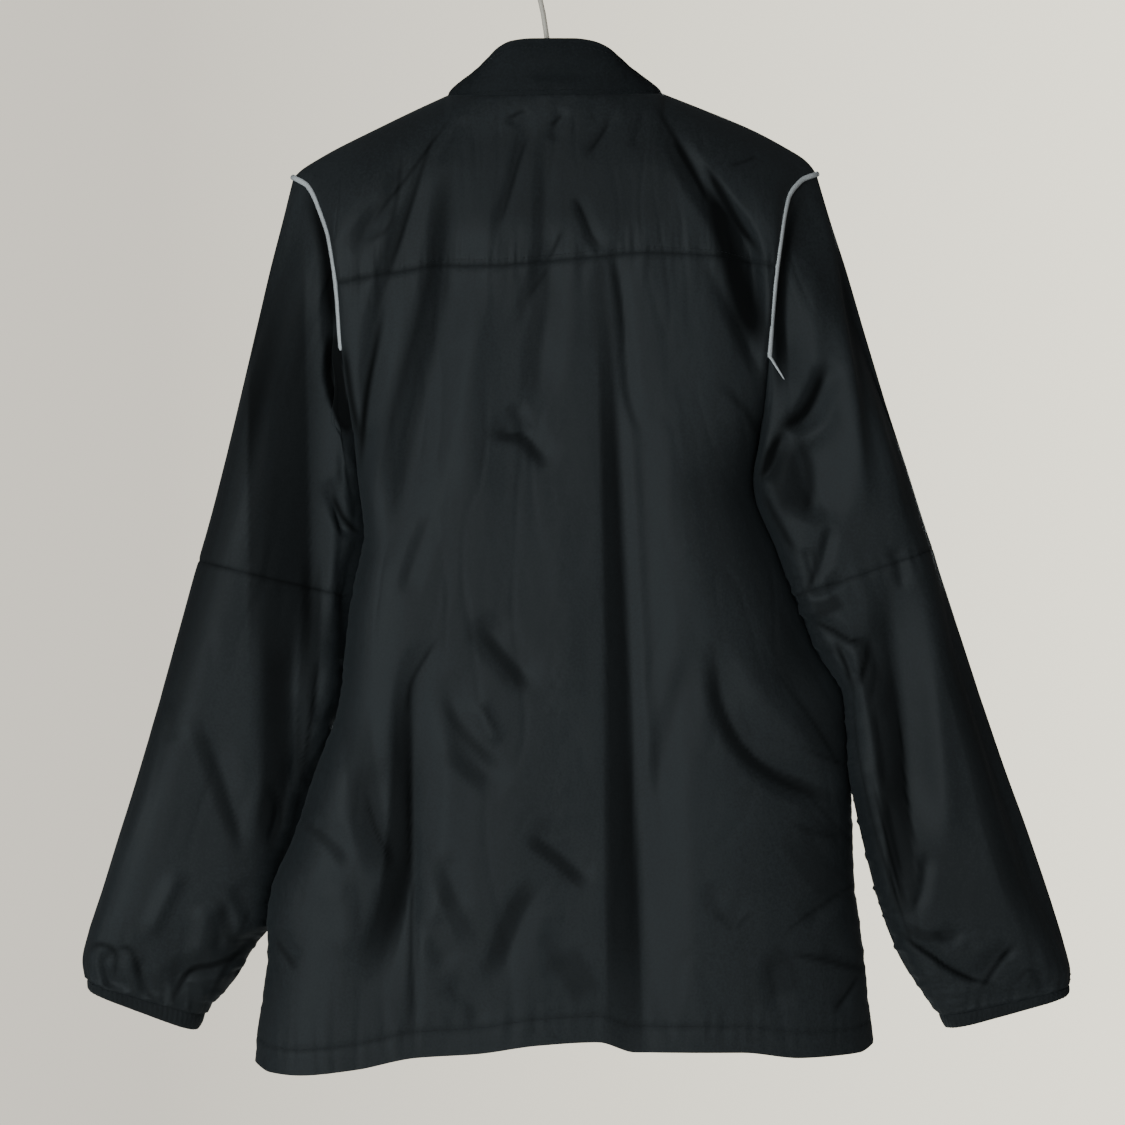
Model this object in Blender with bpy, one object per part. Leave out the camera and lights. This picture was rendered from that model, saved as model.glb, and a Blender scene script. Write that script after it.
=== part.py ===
"""Windbreaker jacket hanging on a plain wire-hook hanger.

Metres, +Z up. The origin is the inside top of the hook. The back of the jacket faces -Y and its
wearer's left is -X. Tables are in millimetres. A garment wall is a grid of outer points, each with
the direction in which the cloth's outer face looks there. Seams share both, so that the pieces
on their two sides stay one gap apart.
"""

import math

import bmesh
import bpy
import numpy as np

MM = 0.001

# Cloth and seams
CLOTH = 1.2
COLLAR_CLOTH = 2.0
CUFF_CLOTH = 2.0
GAP = 0.34
NECK_GAP = 0.4
PIPING_RADIUS = 1.5
PIPING_GAP = 0.5

# Body
SHOULDER_HALF = 204.0
YOKE_HALF = 171.0
NECK_HALF = 84.0
NECK_BACK_DEPTH = 36.0
NECK_FRONT_DEPTH = 48.0
NECK_FRONT_DROP = 76.0
COLLAR_BULGE = 2.5
ARM_DEPTH = 38.0
RIDGE_ROUND = 62.0
UNDERARM_ROUND = 130.0
BODY_FULLNESS = (2.3, 0.42, 0.75)
SLEEVE_FULLNESS = (2.0, 0.62)
SIDE_SHIFT = 7.0
SLEEVE_CLEAR = 0.8

# Zip
ZIP_EDGE = 3.3
ZIP_COLUMN = 16.0
CHAIN_HALF = 2.6
CHAIN_PROUD = 0.6
TAPE_HALF = 14.5
TAPE_GAP = 0.4
TAPE = 0.8
SLIDER_Z = -236.0
SLIDER_GAP = 0.5
ZIP_TOP = 0.8

# Hanger
HOOK_RADIUS = 1.7
HOOK_BEND = 20.0
ARM_RADIUS = 4.0
ARM_GAP = 0.4
STEM_X = -3.0
STEM_GAP = 0.5
RIDGE_WEDGE = 1.36

# Shoulder ridge, from the neck point outward: x, z
RIDGE_LEFT = [(-84, -116.5), (-108, -127.5), (-141, -143.5), (-172, -159), (-186, -167), (-197, -174),
              (-204, -180.5)]
RIDGE_RIGHT = [(84, -115), (117, -128), (154, -143.5), (183, -159), (194, -166), (200, -172), (204, -178)]
BACK_NECK_DIP = 5.0

# Armhole in the back view, shoulder point to underarm: x, z
ARMHOLE_LEFT = [(-204, -180.5), (-191, -189), (-181, -209), (-173, -233), (-167, -276), (-164.5, -313),
                (-157, -380)]
ARMHOLE_RIGHT = [(204, -178), (191, -184), (179.5, -200), (172.5, -237), (168, -276), (165, -321),
                 (163, -372)]

# Side seam, underarm to hem: x, z
SIDE_LEFT = [(-157, -380), (-153.5, -413), (-148.5, -459), (-154.5, -489), (-160.5, -522), (-164, -556),
             (-168, -590), (-187, -644), (-203.5, -694), (-221, -736), (-224, -760), (-223.5, -783),
             (-228, -822), (-232, -850), (-233, -873)]
SIDE_RIGHT = [(163, -372), (156, -418), (175.5, -472), (193.5, -518), (206, -548), (228, -586), (231, -628),
              (232.5, -682), (234, -728), (238, -760), (242, -791), (245, -822), (248, -845), (249, -860)]

# Hem edge: x, z
HEM = [(-233, -873), (-220, -880), (-200, -881.5), (-154, -877), (-107, -868), (-60, -864.5), (-13, -858.5),
       (33, -856), (62, -862), (112, -863), (143, -864), (190, -868.5), (236, -865.5), (249, -860)]

# Yoke seam across the back: x, z
YOKE = [(-172, -263), (-112, -252.5), (-83, -249), (-50, -249.5), (-4, -245.5), (41, -241.5), (69, -239),
        (118, -241), (170, -250)]

# Half depth of the body: z, depth
BODY_DEPTH = [(-115, 42), (-190, 46), (-260, 48), (-380, 50), (-560, 52), (-720, 52), (-880, 50)]

# Sleeve sections, shoulder to cuff end: x and z of the outer edge, x and z of the inner edge, half depth
SLEEVE_LEFT = [
    (-204, -180.5, -157, -380, 36),
    (-212, -213.5, -156.5, -392, 36),
    (-221.5, -251, -155.5, -405, 36),
    (-232, -295.5, -153, -420, 35),
    (-243.5, -344.5, -150, -438, 34),
    (-256.5, -399, -147.5, -460, 33),
    (-270.5, -453.5, -151, -487, 32),
    (-278, -479, -156, -509, 31),
    (-292, -529.5, -163.5, -563, 31),
    (-308, -588, -179, -623, 31),
    (-325, -646.5, -199, -683, 31),
    (-341, -697, -215, -725, 31),
    (-353, -735.5, -226, -764, 30),
    (-363, -767, -240, -782, 28),
    (-367, -789, -256, -809, 25),
    (-366.5, -806, -275, -830, 22),
    (-366.5, -817, -284, -848, 22),
]
SLEEVE_RIGHT = [
    (204, -178, 163, -372, 36),
    (214.5, -213.5, 162, -384, 36),
    (227, -252.5, 160, -398, 36),
    (241, -301.5, 157, -416, 35),
    (256.5, -354, 160.5, -440, 34),
    (274, -408.5, 172, -469, 33),
    (291, -463, 185, -500, 32),
    (299, -487, 191.5, -519, 31),
    (314.5, -535, 207, -556, 31),
    (330, -582, 224, -602, 31),
    (349, -638.5, 234.5, -658, 31),
    (369, -693, 245, -705, 31),
    (386, -744, 257, -749, 30),
    (395.5, -775, 268.5, -780, 28),
    (400.5, -798, 286, -810, 25),
    (402, -810, 298, -830, 22),
    (401.5, -819.5, 306, -846, 22),
]
HALF_SECTIONS = 6
ELBOW_SECTION = 7
CUFF_SECTION = 15

# Collar, from the centre back round to the front: share of the way, x, y, z of its top edge
COLLAR_TOP = [
    (0.00, 0, -34, -71.5), (0.085, 14.5, -33.5, -71.5), (0.17, 28, -32, -72.5), (0.255, 40, -29, -77.5),
    (0.34, 50.5, -23.5, -86), (0.42, 59, -16, -93.5), (0.475, 64.5, -8, -98), (0.50, 67, 0, -101),
    (0.545, 67, 15, -105), (0.61, 60, 28, -113), (0.71, 47, 38, -125), (0.82, 30, 45, -137),
    (0.90, 16, 48.5, -143), (1.00, 3.3, 50, -145),
]

# Folds of the back: three points of the fold's path (x, z), half width, depth (a ridge is negative)
BACK_FOLDS = [
    (-82, -180, -101, -300, -144, -455, 14, 8),
    (-10, -150, -22, -270, -15, -390, 12, 4),
    (22, -205, 45, -320, 68, -400, 13, 5),
    (36, -270, 48, -520, 60, -870, 15, 11),
    (100, -150, 132, -255, 158, -330, 17, 9),
    (116, -250, 150, -330, 160, -410, 12, 5),
    (-91, -540, -119, -640, -130, -740, 14, 6),
    (-119, -650, -112, -760, -140, -880, 17, 9),
    (124, -540, 160, -640, 226, -662, 20, 7),
    (180, -690, 198, -760, 215, -870, 20, 7),
    (-30, -700, -50, -780, -70, -870, 16, 5),
    (0, -560, -12, -660, 10, -760, 18, 4),
    (-190, -760, -195, -820, -190, -880, 15, 5),
    (105, -720, 110, -800, 115, -870, 16, 6),
    (-60, -420, -66, -560, -60, -700, 22, -5),
    (100, -420, 104, -560, 112, -700, 22, -4),
]

# Folds of the front
FRONT_FOLDS = [
    (-90, -220, -100, -400, -120, -560, 18, 6),
    (90, -220, 105, -400, 130, -560, 18, 6),
    (-60, -520, -75, -700, -95, -880, 18, 8),
    (70, -520, 85, -700, 95, -880, 18, 8),
    (-150, -600, -160, -740, -170, -880, 18, 6),
    (160, -600, 175, -740, 185, -880, 18, 6),
]

# Folds of the sleeves, on their back half
LEFT_SLEEVE_FOLDS = [
    (-205, -240, -222, -420, -250, -600, 13, 6),
    (-175, -225, -168, -290, -172, -350, 10, 4),
    (-170, -430, -178, -480, -185, -520, 11, 5),
    (-255, -600, -275, -680, -300, -760, 15, 6),
    (-320, -770, -300, -800, -270, -815, 12, 4),
]
RIGHT_SLEEVE_FOLDS = [
    (210, -230, 226, -360, 245, -470, 13, -5),
    (190, -225, 185, -290, 182, -350, 10, 4),
    (200, -420, 214, -470, 236, -510, 12, 5),
    (260, -540, 290, -640, 315, -740, 14, 6),
    (330, -560, 350, -660, 372, -760, 13, 5),
]
SLEEVE_FRONT_DEPTH = 0.5
FOLD_BEND = 0.075

# Columns of a panel, as shares of its half width
BACK_SHARES = [0.0, 0.07, 0.14, 0.21, 0.28, 0.345, 0.39, 0.4118, 0.49, 0.56, 0.63, 0.70, 0.77, 0.84, 0.91,
               0.965, 1.0]
FRONT_SHARES = [0.15, 0.24, 0.32, 0.375, 0.402, 0.4118, 0.50, 0.60, 0.70, 0.80, 0.89, 0.96, 1.0]
NECK_SHARE = 0.4118

# Rows of a panel: yoke rows as shares of the yoke, then shares of yoke seam to underarm, then to hem
YOKE_ROWS = [0.0, 0.065, 0.15, 0.28, 0.50, 0.75, 1.0]
CHEST_ROWS = [0.17, 0.34, 0.51, 0.68, 0.84, 1.0]
LOWER_ROWS = [0.035, 0.08, 0.14, 0.21, 0.28, 0.35, 0.42, 0.50, 0.58, 0.66, 0.74, 0.82, 0.91, 1.0]

COLORS = {
    "shell": (0.012, 0.016, 0.018, 1.0),
    "collar_cloth": (0.008, 0.010, 0.012, 1.0),
    "cuff_knit": (0.010, 0.012, 0.014, 1.0),
    "piping_cloth": (0.50, 0.52, 0.53, 1.0),
    "zip_tape": (0.010, 0.011, 0.012, 1.0),
    "zip_metal": (0.35, 0.36, 0.37, 1.0),
    "hanger_plastic": (0.78, 0.78, 0.76, 1.0),
    "hook_metal": (0.80, 0.79, 0.76, 1.0),
}


# Small helpers

def along(table, at, key=0, value=1):
    """Straight-line lookup in a table's columns, in either direction."""
    rows = sorted(table, key=lambda row: row[key])
    return float(np.interp(at, [row[key] for row in rows], [row[value] for row in rows]))


def smooth(q):
    q = min(1.0, max(0.0, q))
    return q * q * (3 - 2 * q)


def rise(q, power=1.6):
    """0 at 0 and 1 from 1 on, leaving steeply and arriving level."""
    q = min(1.0, max(0.0, q))
    return (1 - (1 - q) ** power) ** (1 / power)


def unit(vector):
    vector = np.asarray(vector, float)
    length = np.linalg.norm(vector)
    return vector / length if length > 1e-9 else vector


def side_tables(side):
    if side < 0:
        return RIDGE_LEFT, ARMHOLE_LEFT, SIDE_LEFT, SLEEVE_LEFT
    return RIDGE_RIGHT, ARMHOLE_RIGHT, SIDE_RIGHT, SLEEVE_RIGHT


def fold_push(x, z, folds):
    """How far the folds push the point (x, z) inward. A fold runs along a bent path and fades at its ends."""
    push = 0.0
    for x0, z0, x1, z1, x2, z2, half_width, depth in folds:
        if not z2 - 40 < z < z0 + 40:
            continue
        t = (z0 - z) / (z0 - z2)
        middle = (z0 - z1) / (z0 - z2)
        path = np.interp(t, [0, middle, 1], [x0, x1, x2])
        bend = x1 - (x0 + (x2 - x0) * middle)
        path += FOLD_BEND * bend * math.sin(math.pi * min(1, max(0, t)))
        ends = smooth((t + 0.10) / 0.28) * (1 if z2 < -850 else smooth((1.10 - t) / 0.28))
        push += depth * ends * math.exp(-((x - path) / half_width) ** 2)
    return push


# Body

def underarm_z(side):
    return side_tables(side)[1][-1][1]


def edge_x(side, z):
    """The panel's outer edge at this height: the armhole above the underarm, the side seam below it."""
    _, armhole, seam, _ = side_tables(side)
    return along(armhole if z > underarm_z(side) else seam, z, 1, 0)


def edge_depth(side, z):
    """Half depth of the body at its edge, before the shoulder rounds it off."""
    return ARM_DEPTH * rise((z - underarm_z(side)) / UNDERARM_ROUND, 2.0)


def side_y(side, z):
    """The side seam drifts off the middle plane, so that the sleeve lies beside it."""
    return side * SIDE_SHIFT * smooth((underarm_z(side) - z) / 45)


def body_depth(side, share, z, edge_z):
    """Half depth of the body, before the shoulder rounds it off. Its edge pinches below the underarm."""
    n, m_high, m_low = BODY_FULLNESS
    m = m_high + (m_low - m_high) * smooth((underarm_z(side) - edge_z) / 220)
    full = (1 - share ** n) ** m if share < 1 else 0.0
    edge, middle = edge_depth(side, edge_z), along(BODY_DEPTH, z)
    return edge + (middle - edge) * full


def ridge_z(side, x):
    return along(side_tables(side)[0], x)


def top_point(side, share, back):
    """The top edge of a panel: the neckline inside the neck points, the shoulder ridge outside them."""
    x = side * share * SHOULDER_HALF
    if share >= NECK_SHARE - 1e-9:
        return x, 0.0, ridge_z(side, x)
    bow = math.sqrt(max(0.0, 1 - (x / NECK_HALF) ** 2))
    level = ridge_z(side, side * NECK_HALF)
    middle = 0.5 * (RIDGE_LEFT[0][1] + RIDGE_RIGHT[0][1])
    level = middle + (level - middle) * share / NECK_SHARE
    if back:
        return x, NECK_BACK_DEPTH * bow, level - BACK_NECK_DIP * bow
    return x, NECK_FRONT_DEPTH * bow, level - NECK_FRONT_DROP * bow ** 2


def body_point(side, share, z, top, edge, back, x=None):
    """A point of the body: its share of the half width, its height, its column's top and its row's edge."""
    top_x, top_y, top_z = top
    edge_x_here, edge_z = edge
    if x is None:
        out = max(0.0, (share - NECK_SHARE) / (1 - NECK_SHARE)) ** 1.5
        settle = max(out, smooth((top_z - z) / 90))
        x = top_x + (share * edge_x_here - top_x) * settle
    depth = body_depth(side, share, z, edge_z)
    y = top_y + (depth - top_y) * rise((top_z - z) / RIDGE_ROUND)
    folds = BACK_FOLDS if back else FRONT_FOLDS
    free = smooth((1 - share) / 0.16) * smooth((top_z - z) / 60)
    if not back:
        free *= smooth((abs(x) - ZIP_COLUMN - 4) / 25)
    y -= free * fold_push(x, z, folds)
    shift = side_y(side, edge_z) * smooth((share - 0.55) / 0.45)
    return np.array([x, (-y if back else y) + shift, z])


def row_heights(side, share, back):
    """The heights of a column's points, top to hem."""
    top_z = top_point(side, share, back)[2]
    armhole_top = side_tables(side)[1][0][1]
    under = underarm_z(side)
    middle = 0.5 * (underarm_z(-1) + underarm_z(1))
    level = middle + (under - middle) * share
    edge_seam = along(YOKE, side * YOKE_HALF)
    if back:
        x_seam = side * share * YOKE_HALF
        seam = along(YOKE, x_seam)
        upper = [top_z + (seam - top_z) * row for row in YOKE_ROWS]
        upper += [seam + (level - seam) * row for row in CHEST_ROWS]
    else:
        edge = [armhole_top + (edge_seam - armhole_top) * row for row in YOKE_ROWS]
        edge += [edge_seam + (under - edge_seam) * row for row in CHEST_ROWS]
        upper = [top_z + (level - top_z) * (armhole_top - z) / (armhole_top - under) for z in edge]
    hem = along(HEM, side * share * abs(HEM[0 if side < 0 else -1][0]))
    return upper + [level + (hem - level) * row for row in LOWER_ROWS]


def edge_rows(side):
    """Where each row of a panel ends: the x and z of its edge."""
    return [(edge_x(side, z), z) for z in row_heights(side, 1.0, True)]


def body_column(side, share, back, x=None):
    top = top_point(side, share, back)
    heights = row_heights(side, share, back)
    return [body_point(side, share, z, top, edge, back, x) for z, edge in zip(heights, edge_rows(side))]


def grid_normals(points, outward):
    """Directions of the outer face, from the grid's own neighbours."""
    rows, columns = np.gradient(points, axis=0), np.gradient(points, axis=1)
    normals = np.cross(columns, rows)
    normals /= np.maximum(np.linalg.norm(normals, axis=2, keepdims=True), 1e-12)
    flip = np.sign((normals * outward).sum(axis=2, keepdims=True))
    return normals * np.where(flip == 0, 1, flip)


def ridge_normal(side, share):
    x = side * share * SHOULDER_HALF
    slope = (ridge_z(side, x + 3) - ridge_z(side, x - 3)) / 6
    return unit([-slope, 0, 1])


def seam_frames(seam, first, second, hints, closed):
    """The cloth's outward direction on a seam, and the way across it toward the second piece.

    first and second are the nearest points of the two pieces that the seam joins.
    """
    seam, first, second = np.array(seam), np.array(first), np.array(second)
    if closed:
        tangents = np.roll(seam, -1, axis=0) - np.roll(seam, 1, axis=0)
    else:
        tangents = np.gradient(seam, axis=0)
    normals, across = [], []
    for point, a, b, tangent, hint in zip(seam, first, second, tangents, hints):
        on_first = unit(np.cross(tangent, a - point))
        on_second = unit(np.cross(b - point, tangent))
        normal = unit(on_first + on_second)
        normal = normal if np.dot(normal, hint) > 0 else -normal
        normals.append(normal)
        across.append(unit(np.cross(normal, tangent)))
    return normals, across


def armhole_row_count():
    return len(YOKE_ROWS) + len(CHEST_ROWS)


def round_trip(back, front):
    """Joins two half loops: down the back, then up the front."""
    return list(back) + list(front[-2:0:-1])


def armhole_loop(side):
    """The whole armhole seam: points, outward directions and the ways across it toward the sleeve."""
    count = armhole_row_count()
    ring = round_trip(body_column(side, 1.0, True)[:count], body_column(side, 1.0, False)[:count])
    inside = round_trip(body_column(side, BACK_SHARES[-2], True)[:count],
                        body_column(side, FRONT_SHARES[-2], False)[:count])
    inside[0] = np.array([side * 190.0, 0, ridge_z(side, side * 190.0)])
    outside = sleeve_rings(side, np.array(ring))[1]
    hints = [np.array([0.3 * side, point[1] / 10, 0.02]) for point in ring]
    hints[0] = np.array([0, 0, 1.0])
    normals, _ = seam_frames(ring, inside, outside, hints, True)
    ring = np.array(ring)
    share = (ring[0, 2] - ring[:, 2]) / (ring[0, 2] - ring[count - 1, 2])
    for k, part in enumerate(share):
        down = smooth((part - 0.72) / 0.28)
        normals[k] = unit(normals[k] * (1 - down) + np.array([0, 0, -1.0]) * down)
    tangents = np.roll(ring, -1, axis=0) - np.roll(ring, 1, axis=0)
    across = [unit(np.cross(normal, tangent)) for normal, tangent in zip(normals, tangents)]
    across = [vector if vector[0] * side > 0 else -vector for vector in across]
    return ring, np.array(normals), np.array(across)


def finish_armhole_edge(side, points, normals, column, back):
    """Puts a panel's armhole edge on the shared seam, half a gap inside it."""
    ring, directions, across = armhole_loop(side)
    for row in range(armhole_row_count()):
        index = row if back else -row % len(ring)
        points[row, column] = ring[index] - across[index] * GAP / 2
        normals[row, column] = directions[index]


def finish_side_edge(side, points, normals, column, back):
    """Half a gap in depth down the side seam, and at both ends of the armhole."""
    sign = -1 if back else 1
    for row in range(armhole_row_count(), len(points)):
        points[row, column, 1] += sign * GAP / 2
        normals[row, column] = (side, 0, 0)
    for row in (0, armhole_row_count() - 1):
        points[row, column, 1] += sign * GAP / 2


def neck_seam():
    """The neckline seam, left front edge round to right front edge."""
    seam, below, above = [], [], []
    for side, share, back in collar_columns():
        x, y, z = top_point(side, share, back)
        base = np.array([x, -y if back else y, z])
        x_fixed = abs(x) if share <= ZIP_COLUMN / SHOULDER_HALF + 1e-9 and not back else None
        under = body_column(side, share, back, side * x_fixed if x_fixed else None)[2]
        if abs(share - NECK_SHARE) < 1e-9:
            under[1] = 0.0
        seam.append(base)
        below.append(under)
        above.append(base + (collar_top(side, share, back) - base) * 0.25)
    hints = [np.array([point[0], point[1], 0]) for point in seam]
    normals, up = seam_frames(seam, below, above, hints, False)
    up = [vector if vector[2] > 0 else -vector for vector in up]
    for k in (0, 1, -2, -1):
        normals[k][0] = 0.0
        up[k][0] = 0.0
    return seam, normals, up


def finish_top_edge(side, points, normals, shares, back):
    """The ridge takes half a gap off in depth, the neckline half a gap off downward."""
    sign = -1 if back else 1
    columns = [(part, round(share, 4), rear) for part, share, rear in collar_columns()]
    _, directions, ups = neck_seam()
    for column, share in enumerate(shares):
        if share >= NECK_SHARE - 1e-9:
            normals[0, column] = ridge_normal(side, min(share, 0.97))
            if share < 1:
                points[0, column, 1] += sign * GAP / 2
        if share <= NECK_SHARE + 1e-9:
            rear = back or abs(share - NECK_SHARE) < 1e-9
            index = columns.index((side if share > 0 else 1, round(share, 4), rear))
            normals[0, column] = directions[index]
            points[0, column] -= ups[index] * NECK_GAP / 2


def back_grid():
    """Outer points and directions of the whole back, left edge to right edge."""
    left = [body_column(-1, share, True) for share in reversed(BACK_SHARES[1:])]
    right = [body_column(1, share, True) for share in BACK_SHARES]
    points = np.array(left + right).transpose(1, 0, 2)
    normals = grid_normals(points, np.array([0, -1.0, 0.02]))
    half = len(BACK_SHARES) - 1
    finish_top_edge(-1, points[:, :half], normals[:, :half], BACK_SHARES[:0:-1], True)
    finish_top_edge(1, points[:, half:], normals[:, half:], BACK_SHARES, True)
    for side, column in ((-1, 0), (1, -1)):
        finish_armhole_edge(side, points, normals, column, True)
        finish_side_edge(side, points, normals, column, True)
    return points, normals


def front_grid(side):
    """Outer points and directions of one front, zip edge to side edge."""
    columns = []
    for x, share in ((ZIP_EDGE, ZIP_EDGE / SHOULDER_HALF), (ZIP_COLUMN, ZIP_COLUMN / SHOULDER_HALF)):
        columns.append(body_column(side, share, False, side * x))
    columns += [body_column(side, share, False) for share in FRONT_SHARES]
    points = np.array(columns).transpose(1, 0, 2)
    normals = grid_normals(points, np.array([0, 1.0, 0.02]))
    shares = [ZIP_EDGE / SHOULDER_HALF, ZIP_COLUMN / SHOULDER_HALF] + FRONT_SHARES
    finish_top_edge(side, points, normals, shares, False)
    normals[1:, 0, 0] = 0
    finish_armhole_edge(side, points, normals, -1, False)
    finish_side_edge(side, points, normals, -1, False)
    return points, normals


def split_rows(points, normals, row):
    """Cuts a grid along a row, into two grids one gap apart."""
    across = points[row + 1] - points[row - 1]
    across /= np.linalg.norm(across, axis=1, keepdims=True)
    upper, lower = points[:row + 1].copy(), points[row:].copy()
    upper[-1] -= across * GAP / 2
    lower[0] += across * GAP / 2
    return (upper, normals[:row + 1]), (lower, normals[row:])


# Collar

def collar_columns():
    """The neckline's points: left front edge, round the back, right front edge. Also each one's share."""
    columns = []
    front_shares = [ZIP_EDGE / SHOULDER_HALF, ZIP_COLUMN / SHOULDER_HALF]
    front_shares += [share for share in FRONT_SHARES if share < NECK_SHARE - 1e-6]
    back_shares = [s for s in BACK_SHARES if 0 < s < NECK_SHARE - 1e-6]
    for share in front_shares:
        columns.append((-1, share, False))
    columns.append((-1, NECK_SHARE, True))
    for share in reversed(back_shares):
        columns.append((-1, share, True))
    columns.append((1, 0.0, True))
    for share in back_shares:
        columns.append((1, share, True))
    columns.append((1, NECK_SHARE, True))
    for share in reversed(front_shares):
        columns.append((1, share, False))
    return columns


def collar_top(side, share, back):
    """The collar's top edge above this point of the neckline."""
    way = 0.5 * share / NECK_SHARE if back else 1 - 0.5 * share / NECK_SHARE
    top = np.array([side * along(COLLAR_TOP, way, 0, 1), along(COLLAR_TOP, way, 0, 2),
                    along(COLLAR_TOP, way, 0, 3)])
    if share <= ZIP_COLUMN / SHOULDER_HALF + 1e-9 and not back:
        top[0] = side * share * SHOULDER_HALF
    return top


def collar_grid():
    seam, normals, ups = neck_seam()
    points = []
    for base, normal, up, place in zip(seam, normals, ups, collar_columns()):
        top = collar_top(*place)
        base = base + up * NECK_GAP / 2
        flat = unit([normal[0], normal[1], 0])
        column = []
        for step in (0, 0.25, 0.5, 0.75, 1):
            column.append(base + (top - base) * step + flat * COLLAR_BULGE * math.sin(math.pi * step))
        points.append(column)
    points = np.array(points).transpose(1, 0, 2)
    outward = points.copy()
    outward[:, :, 1] -= 4
    outward[:, :, 2] = 0
    directions = grid_normals(points, outward)
    directions[0] = normals
    for column in (0, -1):
        directions[1:, column, 0] = 0
    directions /= np.linalg.norm(directions, axis=2, keepdims=True)
    return points, directions


# Sleeves

def sleeve_rings(side, ring):
    """The sleeve's rings, armhole to cuff end."""
    half = armhole_row_count() - 1
    table = side_tables(side)[3]
    first = (ring[0, 2] - ring[:half + 1, 2]) / (ring[0, 2] - ring[half, 2])
    even = [(1 - math.cos(math.pi * k / half)) / 2 for k in range(half + 1)]
    folds = LEFT_SLEEVE_FOLDS if side < 0 else RIGHT_SLEEVE_FOLDS
    rings = []
    for section in range(len(table)):
        for part in (0.0, 0.5) if section < HALF_SECTIONS else (0.0,):
            level = section + part
            ox, oz, ix, iz, depth = sleeve_section(side, table, section, part)
            blend = smooth(level / 4)
            stay = 1 - smooth(level / 5)
            shift = -side_y(side, iz) * (1 - stay)
            loop = []
            for k in range(2 * half):
                j = k if k <= half else 2 * half - k
                back = k <= half
                c = first[j] + (even[j] - first[j]) * blend
                point = section_point((ox, oz, ix, iz, depth), c, back)
                fade = smooth(level / 1.5) * smooth(c * (1 - c) * 6) * smooth((14.6 - level) / 2)
                push = fold_push(point[0], point[2], folds) * fade
                point[1] += push if back else -push * SLEEVE_FRONT_DEPTH
                point += stay * (ring[k] - section_point(table[0], first[j], back))
                point[1] += shift
                loop.append(point)
            rings.append(loop)
    return np.array(rings)


def sleeve_section(side, table, section, part):
    """A row of the sleeve's table, or one between two rows, with its inner edge kept off the body."""
    low, high = table[section], table[min(section + 1, len(table) - 1)]
    ox, oz, ix, iz, depth = [a + (b - a) * part for a, b in zip(low, high)]
    if section > 0:
        ix = side * max(side * ix, side * edge_x(side, iz) + SLEEVE_CLEAR)
    return ox, oz, ix, iz, depth


def section_point(section, c, back):
    """A point of a plain sleeve section, at a share of the way from its outer to its inner edge."""
    ox, oz, ix, iz, depth = section
    n, m = SLEEVE_FULLNESS
    wide = abs(2 * c - 1)
    y = depth * (1 - wide ** n) ** m if wide < 1 else 0.0
    return np.array([ox + (ix - ox) * c, -y if back else y, oz + (iz - oz) * c])


def sleeve_grid(side):
    ring, ring_normals, across = armhole_loop(side)
    points = sleeve_rings(side, ring)
    normals = tube_normals(points)
    points[0] = ring + across * GAP / 2
    normals[0] = ring_normals
    return points, normals


def tube_normals(points):
    """Outward directions of a tube given as rings."""
    around = np.roll(points, -1, axis=1) - np.roll(points, 1, axis=1)
    down = np.gradient(points, axis=0)
    normals = np.cross(around, down)
    normals /= np.maximum(np.linalg.norm(normals, axis=2, keepdims=True), 1e-12)
    spoke = points - points.mean(axis=1, keepdims=True)
    flip = np.sign((normals * spoke).sum(axis=(1, 2)))
    return normals * flip[:, None, None]


# Meshes

def material(name, rough, metallic=0.0):
    made = bpy.data.materials.new(name)
    made.use_nodes = True
    shader = made.node_tree.nodes["Principled BSDF"]
    shader.inputs["Base Color"].default_value = COLORS[name]
    shader.inputs["Roughness"].default_value = rough
    shader.inputs["Metallic"].default_value = metallic
    made.diffuse_color = COLORS[name]
    return made


def add_object(name, points, faces, slot):
    mesh = bpy.data.meshes.new(name)
    mesh.from_pydata([tuple(np.asarray(point) * MM) for point in points], [], faces)
    mesh.materials.append(slot)
    obj = bpy.data.objects.new(name, mesh)
    bpy.context.scene.collection.objects.link(obj)
    model = bmesh.new()
    model.from_mesh(mesh)
    bmesh.ops.recalc_face_normals(model, faces=model.faces)
    if model.calc_volume(signed=True) < 0:
        bmesh.ops.reverse_faces(model, faces=model.faces)
    model.to_mesh(mesh)
    model.free()
    return obj


def strip(faces, a, b, c, d):
    faces.append((a, b, c))
    faces.append((a, c, d))


def cloth_wall(name, points, normals, thick, slot, tube=False, turned=999):
    """A closed wall: the grid's outer face, the same grid moved inward, and the edges between them.

    Cells are cut along one diagonal, and along the other one from column turned on.
    """
    rows, columns = points.shape[:2]
    outer = points.reshape(-1, 3)
    inner = (points - normals * thick).reshape(-1, 3)
    count = rows * columns
    faces = []
    last = columns if tube else columns - 1
    for i in range(rows - 1):
        for j in range(last):
            k = (j + 1) % columns
            a, b, c, d = i * columns + j, i * columns + k, (i + 1) * columns + k, (i + 1) * columns + j
            if j >= turned:
                a, b, c, d = b, c, d, a
            strip(faces, a, b, c, d)
            faces.append((a + count, c + count, b + count))
            faces.append((a + count, d + count, c + count))
    for i in (0, rows - 1):
        for j in range(last):
            a, b = i * columns + j, i * columns + (j + 1) % columns
            if j >= turned:
                a, b = b, a
            strip(faces, a, b, b + count, a + count)
    if not tube:
        for j in (0, columns - 1):
            for i in range(rows - 1):
                a, b = i * columns + j, (i + 1) * columns + j
                strip(faces, a, b, b + count, a + count)
    return add_object(name, np.concatenate([outer, inner]), faces, slot)


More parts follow.
